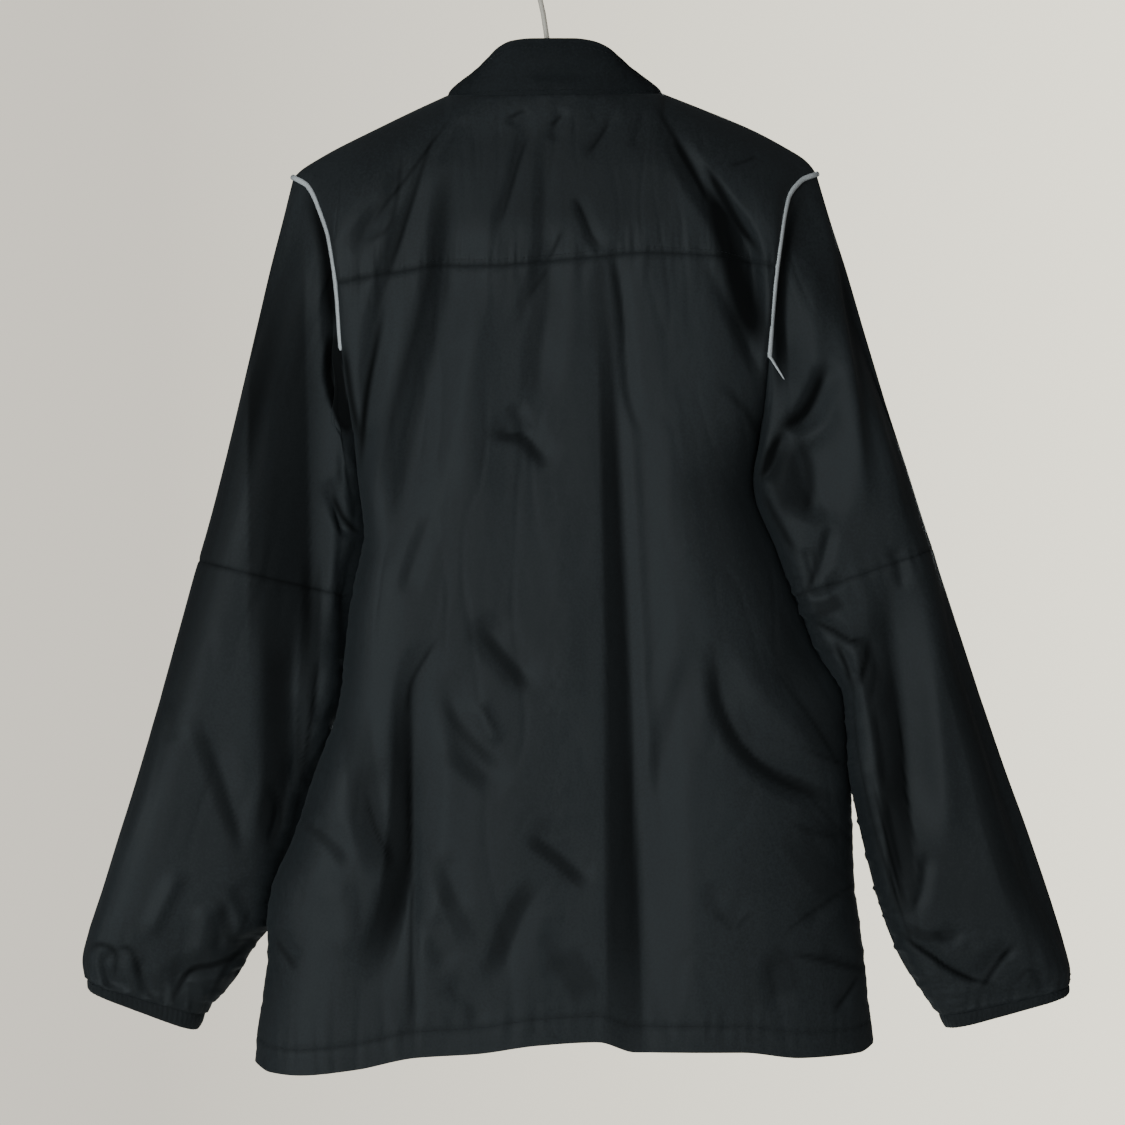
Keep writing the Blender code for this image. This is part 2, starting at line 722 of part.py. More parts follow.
def round_bar(name, path, radius, sides, slot):
    """A bar of round section along a path, with flat ends."""
    path = np.array(path, float)
    tangents = np.gradient(path, axis=0)
    points, faces = [], []
    lead = unit(np.cross(tangents[0], [0.3, 1, 0.2]))
    for centre, tangent in zip(path, tangents):
        tangent = unit(tangent)
        lead = unit(lead - tangent * np.dot(lead, tangent))
        other = np.cross(tangent, lead)
        for k in range(sides):
            angle = 2 * math.pi * k / sides
            points.append(centre + radius * (math.cos(angle) * lead + math.sin(angle) * other))
    for i in range(len(path) - 1):
        for k in range(sides):
            a, b = i * sides + k, i * sides + (k + 1) % sides
            strip(faces, a, b, b + sides, a + sides)
    faces.append(tuple(range(sides)))
    faces.append(tuple(range((len(path) - 1) * sides, len(path) * sides)))
    return add_object(name, points, faces, slot)


def box_mesh(name, low, high, slot):
    points = [(x, y, z) for x in (low[0], high[0]) for y in (low[1], high[1]) for z in (low[2], high[2])]
    faces = [(0, 1, 3, 2), (4, 6, 7, 5), (0, 4, 5, 1), (2, 3, 7, 6), (0, 2, 6, 4), (1, 5, 7, 3)]
    return add_object(name, points, faces, slot)


# Pieces

def build_body(slots):
    points, normals = back_grid()
    upper, lower = split_rows(points, normals, len(YOKE_ROWS) - 1)
    middle = len(BACK_SHARES) - 1
    cloth_wall("back_yoke", upper[0], upper[1], CLOTH, slots["shell"], turned=middle)
    cloth_wall("back_body", lower[0], lower[1], CLOTH, slots["shell"], turned=middle)
    fronts = []
    for side, name in ((-1, "front_left"), (1, "front_right")):
        points, normals = front_grid(side)
        cloth_wall(name, points, normals, CLOTH, slots["shell"])
        fronts.append((points, normals))
    return fronts


def build_sleeves(slots):
    for side, word in ((-1, "left"), (1, "right")):
        points, normals = sleeve_grid(side)
        elbow, cuff = HALF_SECTIONS + ELBOW_SECTION, HALF_SECTIONS + CUFF_SECTION
        rest, end = split_rows(points, normals, cuff)
        upper, lower = split_rows(rest[0], rest[1], elbow)
        half = armhole_row_count() - 1
        cloth_wall("sleeve_" + word + "_upper", upper[0], upper[1], CLOTH, slots["shell"], True, half)
        cloth_wall("sleeve_" + word + "_lower", lower[0], lower[1], CLOTH, slots["shell"], True, half)
        cloth_wall("cuff_" + word, end[0], end[1], CUFF_CLOTH, slots["cuff_knit"], True, half)


def build_piping(slots):
    """Round piping over the shoulder on each armhole seam, back end to front end."""
    count = armhole_row_count()
    lift = PIPING_RADIUS + PIPING_GAP
    for side, word in ((-1, "left"), (1, "right")):
        ring, normals, _ = armhole_loop(side)
        reach = count - 4
        order = list(range(reach, 0, -1)) + [0] + [len(ring) - k for k in range(1, reach + 1)]
        path = [ring[k] + normals[k] * lift for k in order]
        round_bar("piping_" + word, path, PIPING_RADIUS, 8, slots["piping_cloth"])


def zip_section(left, right, left_normal, right_normal, thick):
    """Ten points across the zip: tape wings inside the cloth, chain standing up between the edges."""
    share = (TAPE_HALF - ZIP_EDGE) / (ZIP_COLUMN - ZIP_EDGE)
    front = thick + TAPE_GAP
    rear = front + TAPE

    def wing(points, normals, depth):
        normal = unit(normals[0] + (normals[1] - normals[0]) * share)
        return points[0] + (points[1] - points[0]) * share - normal * depth

    def mid(points, normals, x, depth):
        place = points[0] - normals[0] * depth
        return np.array([x, place[1], place[2]])

    top = -CHAIN_PROUD
    return [
        wing(left, left_normal, front), mid(left, left_normal, -CHAIN_HALF, front),
        mid(left, left_normal, -CHAIN_HALF, top), mid(right, right_normal, CHAIN_HALF, top),
        mid(right, right_normal, CHAIN_HALF, front), wing(right, right_normal, front),
        wing(right, right_normal, rear), mid(right, right_normal, CHAIN_HALF, rear),
        mid(left, left_normal, -CHAIN_HALF, rear), wing(left, left_normal, rear),
    ]


def build_zip(slots, fronts, collar):
    points, normals = collar[0].copy(), collar[1]
    points[-1] = points[-2] + (points[-1] - points[-2]) * ZIP_TOP
    sections = []
    for row in range(len(points) - 1, -1, -1):
        sections.append(zip_section(points[row, :2], points[row, :-3:-1], normals[row, :2],
                                    normals[row, :-3:-1], COLLAR_CLOTH))
    (left, left_normals), (right, right_normals) = fronts
    for row in range(1, len(left)):
        sections.append(zip_section(left[row, :2], right[row, :2], left_normals[row, :2],
                                    right_normals[row, :2], CLOTH))
    size = 10
    vertices = [point for section in sections for point in section]
    faces = []
    for i in range(len(sections) - 1):
        for k in range(size):
            a, b = i * size + k, i * size + (k + 1) % size
            strip(faces, a, b, b + size, a + size)
    for start in (0, (len(sections) - 1) * size):
        for cap in ((0, 1, 8, 9), (1, 4, 7, 8), (1, 2, 3, 4), (4, 5, 6, 7)):
            faces.append(tuple(start + k for k in cap))
    add_object("zip", vertices, faces, slots["zip_tape"])
    return sections


def chain_front(fronts, z):
    """How far forward the chain's face stands at this height."""
    points, _ = fronts[0]
    heights, depths = points[1:, 0, 2][::-1], points[1:, 0, 1][::-1]
    return float(np.interp(z, heights, depths)) + CHAIN_PROUD


def loop_prism(name, outer, hole, x_low, x_high, slot):
    """A plate in the YZ plane with one hole, both outlines of the same number of points."""
    points, faces = [], []
    count = len(outer)
    for x in (x_low, x_high):
        points += [(x, y, z) for y, z in outer] + [(x, y, z) for y, z in hole]
    for k in range(count):
        n = (k + 1) % count
        strip(faces, k, n, count + n, count + k)
        strip(faces, 2 * count + k, 3 * count + k, 3 * count + n, 2 * count + n)
        strip(faces, k, 2 * count + k, 2 * count + n, n)
        strip(faces, count + k, count + n, 3 * count + n, 3 * count + k)
    return add_object(name, points, faces, slot)


def build_slider(slots, fronts):
    """The slider's body with the bow that its pull hangs from."""
    front = chain_front(fronts, SLIDER_Z)
    back = front + SLIDER_GAP
    face = back + 1.6
    low, high = (-4.5, back, SLIDER_Z - 6.5), (4.5, face, SLIDER_Z + 6.5)
    body = box_mesh("zip_slider", low, high, slots["zip_metal"])
    outer = [(face - 0.8, SLIDER_Z + 4.4), (face + 3.3, SLIDER_Z + 4.0), (face + 3.3, SLIDER_Z - 4.0),
             (face - 0.8, SLIDER_Z - 4.4)]
    hole = [(face - 0.4, SLIDER_Z + 3.1), (face + 2.4, SLIDER_Z + 2.9), (face + 2.4, SLIDER_Z - 2.9),
            (face - 0.4, SLIDER_Z - 3.1)]
    bow = loop_prism("bow", outer, hole, -1.0, 1.0, slots["zip_metal"])
    join = body.modifiers.new("bow", "BOOLEAN")
    join.operation = "UNION"
    join.solver = "EXACT"
    join.object = bow
    bow.hide_render = True
    bow.display_type = "WIRE"
    return face + 1.1


def build_pull(slots, axis_y):
    """The pull tab: a bar through the bow and a plate below it, hanging straight down."""
    half, bar = 3.2, 0.6
    top = SLIDER_Z + bar
    outline = [(-half, top), (half, top), (half, top - 22), (half - 1.4, top - 26), (1.4 - half, top - 26),
               (-half, top - 22)]
    hole = [(-1.6, SLIDER_Z - bar), (1.6, SLIDER_Z - bar), (1.6, SLIDER_Z - 5.2), (0.8, SLIDER_Z - 5.6),
            (-0.8, SLIDER_Z - 5.6), (-1.6, SLIDER_Z - 5.2)]
    points, faces = [], []
    count = len(outline)
    for y in (axis_y - bar, axis_y + bar):
        points += [(x, y, z) for x, z in outline] + [(x, y, z) for x, z in hole]
    for k in range(count):
        n = (k + 1) % count
        strip(faces, k, n, count + n, count + k)
        strip(faces, 2 * count + k, 3 * count + k, 3 * count + n, 2 * count + n)
        strip(faces, k, 2 * count + k, 2 * count + n, n)
        strip(faces, count + k, count + n, 3 * count + n, 3 * count + k)
    add_object("zip_pull", points, faces, slots["zip_metal"])


def hanger_path():
    """The hanger's arms: under the shoulder ridges, and rising to a bend across the neck."""
    drop = (CLOTH + ARM_GAP + ARM_RADIUS) * RIDGE_WEDGE / math.cos(math.radians(24))
    right = []
    for share in BACK_SHARES:
        if share < 0.30 or NECK_SHARE - 0.08 < share < NECK_SHARE - 0.001 or share > 0.95:
            continue
        right.append((share * SHOULDER_HALF, share))
    path = []
    for side in (-1, 1):
        arm = []
        for x, share in right:
            arm.append((side * x, 0, ridge_z(side, side * x) - drop))
        low = arm[0][2]
        bend = [(side * 72, 0, low), (side * 56, 0, low + 11), (side * 34, 0, low + 20),
                (side * 12, 0, low + 23)]
        arm = bend[::-1] + arm
        path = path + arm if side > 0 else arm[::-1]
    return path


def build_hanger(slots):
    path = hanger_path()
    round_bar("hanger_arms", path, ARM_RADIUS, 12, slots["hanger_plastic"])
    crown = along(path, STEM_X, 0, 2) + ARM_RADIUS
    stem = [(STEM_X, 0, crown + STEM_GAP), (-4.5, 0, -85), (-6.3, 0, -72), (-8.0, 0, -58), (-9.6, 0, -46),
            (-13.5, 0, -36)]
    centre = -HOOK_BEND
    reach = HOOK_BEND + HOOK_RADIUS
    bend = []
    for step in range(19):
        angle = math.radians(195 - step * 12.5)
        bend.append((reach * math.cos(angle), 0, centre + reach * math.sin(angle)))
    round_bar("hanger_hook", stem + bend, HOOK_RADIUS, 10, slots["hook_metal"])


def clear_scene():
    for obj in list(bpy.data.objects):
        bpy.data.objects.remove(obj, do_unlink=True)


def make_slots():
    rough = {"shell": 0.45, "collar_cloth": 0.7, "cuff_knit": 0.8, "piping_cloth": 0.5, "zip_tape": 0.8,
             "zip_metal": 0.35, "hanger_plastic": 0.4, "hook_metal": 0.4}
    return {name: material(name, rough[name], 1.0 if name == "zip_metal" else 0.0) for name in rough}


def main():
    clear_scene()
    slots = make_slots()
    fronts = build_body(slots)
    collar = collar_grid()
    middle = collar[0].shape[1] // 2
    cloth_wall("collar", collar[0], collar[1], COLLAR_CLOTH, slots["collar_cloth"], turned=middle)
    build_sleeves(slots)
    build_piping(slots)
    build_zip(slots, fronts, collar)
    build_pull(slots, build_slider(slots, fronts))
    build_hanger(slots)


main()
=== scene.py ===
"""Dresses the windbreaker jacket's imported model: cloth with its folds, seams, piping, zip and hanger.

Tables are in millimetres, in the model's own frame: the back faces -Y, the wearer's left is -X and
the origin is the inside top of the hanger's hook.
"""

import math

import bmesh
import bpy
import numpy as np
from bpy.props import FloatProperty, FloatVectorProperty, PointerProperty
from bpy.types import Operator, Panel, PropertyGroup
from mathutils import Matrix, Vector


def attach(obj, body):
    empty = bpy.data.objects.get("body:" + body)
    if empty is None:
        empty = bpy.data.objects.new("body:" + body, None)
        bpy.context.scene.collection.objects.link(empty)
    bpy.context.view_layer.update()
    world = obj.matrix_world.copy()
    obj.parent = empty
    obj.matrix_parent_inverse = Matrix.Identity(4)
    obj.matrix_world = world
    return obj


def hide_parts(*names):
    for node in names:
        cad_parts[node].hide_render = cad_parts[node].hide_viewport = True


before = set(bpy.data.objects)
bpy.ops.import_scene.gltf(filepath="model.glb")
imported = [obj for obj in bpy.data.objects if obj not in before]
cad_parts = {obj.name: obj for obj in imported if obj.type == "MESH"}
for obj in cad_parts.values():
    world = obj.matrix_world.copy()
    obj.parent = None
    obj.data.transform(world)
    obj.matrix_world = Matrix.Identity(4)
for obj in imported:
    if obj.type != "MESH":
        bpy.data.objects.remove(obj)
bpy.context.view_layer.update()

bl_info = {
    "name": "Windbreaker jacket",
    "version": (1, 0, 0),
    "blender": (4, 5, 0),
    "location": "View3D > Sidebar > Windbreaker",
    "description": "Cloth, trim, zip and hanger of a windbreaker jacket",
    "category": "Object",
}

MM = 0.001

# Grids of the pieces: columns or turns across, and rows
YOKE_COLUMNS, BACK_COLUMNS, FRONT_COLUMNS = 150, 100, 66
SLEEVE_TURNS, SLEEVE_UPPER_ROWS, SLEEVE_LOWER_ROWS = 136, 110, 150
CUFF_TURNS, CUFF_ROWS = 220, 11
COLLAR_COLUMNS, COLLAR_ROWS = 190, 26
PIPING_POINTS = 161

# Where the random draws of each piece start
BACK_SEED, FRONT_SEED, SLEEVE_SEED, COLLAR_SEED, CUFF_SEED = 11, 61, 31, 71, 81
RIPPLE_SEED = 91

# Walls of the pieces that are thicker than the shell cloth
COLLAR_WALL, CUFF_WALL, TAPE_WALL = 1.7, 1.3, 0.6

# What the camera sees: the frame's pixels, the size of one at the garment, and the camera's place
FRAME_PIXELS = 1125
PIXEL_SIZE = 0.78
CAMERA_PLACE = (5.85, -2600.0, -480.75)
SENSOR_WIDTH = 36.0

# Cut of the body and sleeves
SHOULDER_HALF = 204.0
YOKE_HALF = 171.0
NECK_HALF = 84.0
NECK_SHARE = NECK_HALF / SHOULDER_HALF
JUST_INSIDE = 0.999999
NECK_BACK_DEPTH = 36.0
NECK_FRONT_DEPTH = 48.0
NECK_FRONT_DROP = 76.0
BACK_NECK_DIP = 5.0
COLLAR_BULGE = 2.5
COLLAR_TUCK = (0.035, 0.9)
ARM_DEPTH = 38.0
RIDGE_ROUND = 62.0
UNDERARM_ROUND = 130.0
BODY_FULLNESS = (7.0, 0.42, 0.55)
SLEEVE_FULLNESS = (6.0, 0.62)
SIDE_SHIFT = 7.0
SLEEVE_LAP = 4.0
SLEEVE_TWIST = {-1: 9.0, 1: 0.0}
HEM_HEIGHT = 20.0
ELBOW_SECTION = 7
CUFF_SECTION = 15.3
SLEEVE_UNDER_CUFF = 0.12
LAST_SECTION = 16

# Zip, stitches, piping and hook. Stitches beside the zip follow the column nearest its seam at the chest
ZIP_EDGE, ZIP_SEAM, CHEST_ROW = 3.3, 9.0, 60
TAPE_HALF, TAPE_BEHIND, TAPE_COLUMNS = 14.0, 1.5, 29
TOOTH_SIZE = (2.6, 1.3, 1.1)
STITCH_SHARE = 0.7
PIPING_REACH = {-1: 0.362, 1: 0.345}
PIPING_END, PIPING_TAIL = (165.4, -322.0), (176.3, -340.0)
HOOK_PAINT = 0.4

# Shoulder ridge, from the neck point outward: x, z
RIDGE_LEFT = [(-84, -116.5), (-108, -127.5), (-141, -143.5), (-172, -159), (-186, -167), (-197, -174),
              (-204, -180.5)]
RIDGE_RIGHT = [(84, -115), (117, -128), (154, -143.5), (183, -159), (194, -166), (200, -172), (204, -178)]

# Armhole in the back view, shoulder point to underarm: x, z
ARMHOLE_LEFT = [(-204, -180.5), (-191, -189), (-181, -209), (-173, -233), (-167, -276), (-164.5, -313),
                (-157, -380)]
ARMHOLE_RIGHT = [(204, -178), (191, -184), (179.5, -200), (172.5, -237), (168, -276), (165, -321),
                 (163, -372)]

# Side seam, underarm to hem: x, z
SIDE_LEFT = [(-157, -380), (-153.5, -413), (-148.5, -459), (-154.5, -489), (-160.5, -522), (-164, -556),
             (-168, -590), (-187, -644), (-203.5, -694), (-221, -736), (-224, -760), (-223.5, -783),
             (-228, -822), (-232, -850), (-233, -867.5)]
SIDE_RIGHT = [(163, -372), (156, -418), (175.5, -472), (193.5, -518), (206, -548), (228, -586), (231, -628),
              (232.5, -682), (234, -728), (238, -760), (242, -791), (245, -822), (248, -845), (249, -855.5)]

# Hem edge: x, z
HEM = [(-233, -867.5), (-220, -873), (-200, -874), (-154, -869.5), (-107, -860), (-60, -857), (-13, -850.5),
       (33, -848), (62, -856), (112, -856), (143, -856), (190, -861), (236, -860), (249, -855.5)]

# Yoke seam across the back: x, z
YOKE = [(-172, -266.5), (-112, -256), (-83, -252.5), (-50, -253), (-4, -249.5), (41, -245.5), (69, -243),
        (118, -245), (170, -253.5)]

# Half depth of the body: z, depth
BODY_DEPTH = [(-115, 42), (-190, 46), (-260, 48), (-380, 50), (-560, 52), (-720, 52), (-880, 50)]

# Sleeve sections, shoulder to cuff end: x and z of the outer edge, x and z of the inner edge, half depth
SLEEVE_LEFT = [
    (-204, -180.5, -157, -380, 36),
    (-212, -213.5, -156.5, -392, 36),
    (-221.5, -251, -155.5, -405, 36),
    (-232, -295.5, -153, -420, 35),
    (-243.5, -344.5, -150, -438, 34),
    (-256.5, -399, -147.5, -460, 33),
    (-270.5, -453.5, -151, -487, 32),
    (-278, -479, -156, -509, 31),
    (-292, -529.5, -163.5, -563, 31),
    (-308, -588, -179, -623, 31),
    (-325, -646.5, -199, -683, 31),
    (-341, -697, -215, -725, 31),
    (-353, -735.5, -226, -764, 30),
    (-363, -767, -240, -782, 28),
    (-367, -789, -256, -809, 25),
    (-365, -802.5, -275, -829.5, 22),
    (-364, -812.5, -284, -847, 22),
]
SLEEVE_RIGHT = [
    (204, -178, 163, -372, 36),
    (214.5, -213.5, 162, -384, 36),
    (227, -252.5, 160, -398, 36),
    (241, -301.5, 157, -416, 35),
    (256.5, -354, 160.5, -440, 34),
    (274, -408.5, 172, -469, 33),
    (283.5, -439, 179.3, -486.4, 32),
    (293.5, -470.5, 187.5, -507, 31),
    (308, -515, 200.5, -541, 31),
    (330, -582, 224, -602, 31),
    (349, -638.5, 234.5, -658, 31),
    (369, -693, 245, -705, 31),
    (386, -744, 257, -749, 30),
    (395.5, -775, 268.5, -780, 28),
    (400.5, -798, 286, -810, 25),
    (400.5, -807, 299.5, -828, 22),
    (399.5, -816, 308, -842.5, 22),
]

# Collar, from the centre back round to the front: share of the way, x, y, z of its top edge
COLLAR_TOP = [
    (0.00, 0, -34, -77), (0.085, 14.5, -33.5, -77), (0.17, 28, -32, -78.5), (0.255, 40, -29, -83),
    (0.34, 50.5, -23.5, -90.5), (0.42, 59, -16, -97), (0.475, 64.5, -8, -100), (0.50, 67, 0, -102),
    (0.545, 67, 15, -105), (0.61, 60, 28, -113), (0.71, 47, 38, -125), (0.82, 30, 45, -137),
    (0.90, 16, 48.5, -143), (1.00, 3.3, 50, -145),
]
# How much wider it stands on the left
COLLAR_LEAN = [(0.00, 0), (0.17, 5), (0.255, 3.5), (0.34, 1.6), (0.50, 0.5), (0.61, 0), (1.00, 0)]

# Profiles of a fold: soft, a sharp crease, a flat floor with soft edges, and a flat floor with crisp edges
SOFT, CREASE, DIP, BAND = 0, 1, 2, 3
BAND_EDGE = 3.4

# Folds. Columns: depth at the start and at the end (a ridge is negative), reach to the left at the start and
# at the end, reach to the right, profile, and the fold's path as x, z
BACK_FOLDS = [
    # Narrow crease from the left of the neck to the left underarm
    (4, 7, 10, 11.5, 15.5, CREASE,
     ((-90, -140), (-100, -164), (-110, -203), (-119, -233), (-128, -264), (-137, -302), (-143, -348),
      (-151, -413))),
    # Broad trough beside it
    (8, 13, 15.5, 23.5, 30.5, SOFT,
     ((-79, -172), (-80, -226), (-83, -272), (-91, -310), (-104, -364), (-115, -417), (-128, -487))),
    (4, 4, 10, 10, 11, SOFT, ((-117, -160), (-125, -199), (-137, -214), (-156, -245))),
    # Short creases under the neck seam
    (2, 2.5, 6, 6, 8.5, CREASE, ((-17, -135), (-27, -164), (-34, -191), (-42, -214), (-47, -237))),
    (2, 3, 8, 9, 14, SOFT, ((-8, -145), (-9, -203), (-11, -249), (-19, -279), (-31, -304))),
    (3, 4.5, 10, 15.5, 20.5, SOFT, ((6, -222), (-4, -249), (-5, -279), (-11, -318), (-14, -365))),
    (3, 3, 5, 5, 8.5, CREASE, ((15, -199), (25, -224), (35, -247))),
    (2, 2, 5, 5, 8.5, CREASE, ((-22, -129), (-30, -137), (-36, -145))),
    (2.4, 2, 6, 6, 8.5, CREASE, ((9, -130), (1, -144), (-4, -158))),
    (2, 2, 5, 5, 7, CREASE, ((48, -132), (35, -153), (22, -170))),
    (1.8, 1.8, 5, 5, 8.5, CREASE, ((69, -129), (65, -145), (59, -164))),
    (2, 1.6, 6, 6, 8.5, CREASE, ((-65, -135), (-79, -156), (-88, -178))),
    # Main trough, yoke seam to hem
    (6, 17, 9, 29, 38, SOFT,
     ((33, -250), (39, -279), (45, -333), (50, -417), (55, -510), (58, -586), (61, -663), (65, -740),
      (68, -893))),
    (-1.7, -2.3, 5.5, 7, 6, SOFT,
     ((50, -310), (57, -371), (62, -448), (66, -525), (70, -602), (75, -678), (78, -740))),
    (3, 3, 5, 5, 8.5, CREASE, ((38, -229), (48, -260), (52, -295), (54, -333), (59, -364), (70, -388))),
    # Deep trough from the right of the neck to the right underarm
    (7, 20, 9, 29, 11, SOFT,
     ((84, -135), (104, -176), (124, -203), (141, -224), (150, -246), (155, -267), (160, -292),
      (165, -335))),
    (1.5, 1.5, 7, 7, 7, SOFT, ((114, -170), (123, -191), (138, -214), (151, -233), (163, -252))),
    (5, 7, 8, 9, 10.5, CREASE,
     ((114, -249), (133, -283), (148, -314), (162, -345), (165, -379), (156, -419))),
    (1.6, 1.6, 6, 6, 8.5, CREASE, ((133, -176), (146, -172), (159, -163))),
    # Swag at the lower right, with its ridge
    (6, 11, 10.5, 12.5, 36.5, SOFT,
     ((121, -537), (127, -586), (139, -613), (160, -638), (185, -653), (227, -664))),
    (-4, -3, 14, 14, 14, SOFT, ((133, -533), (154, -579), (184, -613), (228, -649))),
    (2, 4, 11.5, 11.5, 18.5, SOFT, ((169, -548), (188, -586), (210, -621), (228, -637))),
    (2, 3.5, 9, 9, 18.5, SOFT, ((187, -669), (207, -680), (230, -701))),
    (3.5, 3.5, 9, 9, 16, SOFT, ((190, -760), (210, -745), (233, -732))),
    (3, 3, 8, 8, 14, SOFT, ((202, -780), (223, -786), (239, -795))),
    (3, 3, 7, 7, 10.5, CREASE, ((240, -795), (225, -815), (214, -827))),
    # Lower left trough
    (9, 16, 14.5, 20.5, 26.5, SOFT,
     ((-88, -537), (-103, -557), (-109, -586), (-110, -636), (-110, -694), (-118, -740), (-130, -778),
      (-143, -809))),
    # Vertical crease to the hem
    (2, 3, 5, 6, 7, CREASE, ((-110, -586), (-109, -663), (-109, -740), (-108, -801), (-105, -874))),
    (5, 8, 21.5, 19.5, 28, SOFT, ((-148, -632), (-138, -682), (-120, -721))),
    (2, 2, 8, 8, 12, SOFT, ((-191, -685), (-169, -692), (-156, -712))),
    (3, 3, 7, 7, 10.5, CREASE, ((-219, -759), (-205, -780), (-196, -790))),
    (4.2, 5, 15.5, 13.5, 20.5, SOFT, ((-58, -520), (-46, -543), (-32, -559), (-18, -579))),
    (4, 4.5, 13.5, 14.5, 19, SOFT, ((-84, -563), (-79, -598), (-68, -623), (-53, -642), (-36, -655))),
    (-2, -2, 6, 6, 6, SOFT, ((-59, -586), (-50, -608), (-44, -621))),
    (2.4, 2.8, 13.5, 13.5, 22.5, SOFT, ((-21, -689), (-5, -698), (10, -712), (24, -731))),
    (3, 3, 14.5, 12.5, 22.5, SOFT, ((-11, -723), (-27, -746), (-38, -774), (-52, -807))),
    (2.5, 2, 11.5, 11.5, 20.5, SOFT, ((-14, -767), (1, -774), (1, -804))),
    (2.5, 2.5, 8, 8, 14, SOFT, ((-94, -439), (-107, -476), (-117, -508))),
    # Crescent dent
    (4, 4, 7, 9, 15.5, CREASE, ((-51, -379), (-40, -382), (-25, -384), (-14, -396), (-3, -410))),
    (3, 3, 9, 6, 8.5, CREASE, ((-33, -358), (-27, -371), (-21, -387))),
    (2.5, 3, 11.5, 11.5, 22.5, SOFT, ((105, -540), (93, -586), (81, -632), (72, -678))),
    (2.5, 2.5, 10, 10, 18.5, SOFT, ((-91, -705), (-80, -732), (-74, -749))),
    (2.5, 2.5, 11.5, 11.5, 18.5, SOFT, ((-100, -751), (-91, -774), (-79, -792))),
    (2, 2, 10, 10, 18.5, SOFT, ((116, -724), (128, -747), (151, -751))),
    (-3, -3, 17, 17, 17, SOFT, ((-67, -264), (-68, -356), (-65, -448))),
    (-1.2, -1.2, 14, 14, 14, SOFT, ((5, -417), (8, -510), (12, -617))),
    (-2.5, -3, 15.5, 15.5, 14, SOFT, ((-173, -717), (-161, -747), (-157, -786))),
    (2.5, 2.5, 8, 8, 14, SOFT, ((-88, -805), (-65, -817), (-59, -840))),
    (3, 2, 9, 9, 14, SOFT, ((164, -786), (168, -809), (171, -826))),
    (5, 7, 39, 44, 61, SOFT, ((144, -356), (164, -417), (188, -479), (216, -548), (234, -602))),
]

LEFT_SLEEVE_FOLDS = [
    # Dent beside the piping
    (6, 12, 9, 12.5, 16.5, SOFT, ((-188, -190), (-179, -223), (-173, -253), (-170, -292), (-167, -342))),
    # Long valley down the sleeve
    (12, 24, 31, 45, 58.5, SOFT,
     ((-194, -206), (-190, -276), (-185, -354), (-185, -416), (-185, -479), (-183, -541), (-176, -580))),
    (8, 10, 19.5, 23.5, 30.5, SOFT, ((-211, -541), (-211, -604), (-205, -658), (-222, -722))),
    (4, 4, 6, 6, 8.5, CREASE, ((-176, -348), (-168, -365), (-154, -381))),
    (6, 8, 8, 8, 10.5, CREASE, ((-175, -415), (-168, -437), (-159, -452), (-147, -462))),
    # Hollow under the piping
    (13, 12, 6, 6, 14, SOFT, ((-170, -307), (-175, -332), (-173, -349), (-166, -366), (-157, -385))),
    (3, 3, 6, 7, 16, SOFT, ((-272, -607), (-261, -635), (-249, -675), (-239, -713))),
    (-3, -3, 8, 8, 7, SOFT, ((-171, -370), (-169, -448), (-168, -541))),
    (3, 3, 15.5, 15.5, 20.5, SOFT, ((-302, -580), (-296, -600), (-292, -621))),
    (5, 5, 7, 8, 14, SOFT, ((-299, -822), (-289, -800), (-264, -797), (-246, -786), (-225, -761))),
    (4, 4, 6, 6, 12, SOFT, ((-338, -777), (-349, -791), (-342, -810), (-330, -817))),
    (4, 4, 6, 6, 12, SOFT, ((-325, -785), (-318, -806), (-310, -825))),
    (3.5, 3, 7, 7, 12, SOFT, ((-257, -746), (-258, -767), (-262, -788))),
    (-3.5, -3, 7, 7, 6, SOFT, ((-289, -717), (-302, -744), (-316, -774))),
    (-2.5, -2.5, 8, 8, 7, SOFT, ((-272, -744), (-272, -767), (-277, -788))),
    (4, 4, 6, 6, 8.5, CREASE, ((-202, -580), (-199, -619), (-199, -658))),
    (3, 3, 5, 5, 7, CREASE, ((-179, -553), (-185, -580), (-182, -611))),
    (3, 3, 5, 5, 8.5, CREASE, ((-222, -650), (-213, -675), (-221, -702))),
    (3, 3, 9, 9, 16, SOFT, ((-249, -728), (-239, -750), (-235, -767))),
]

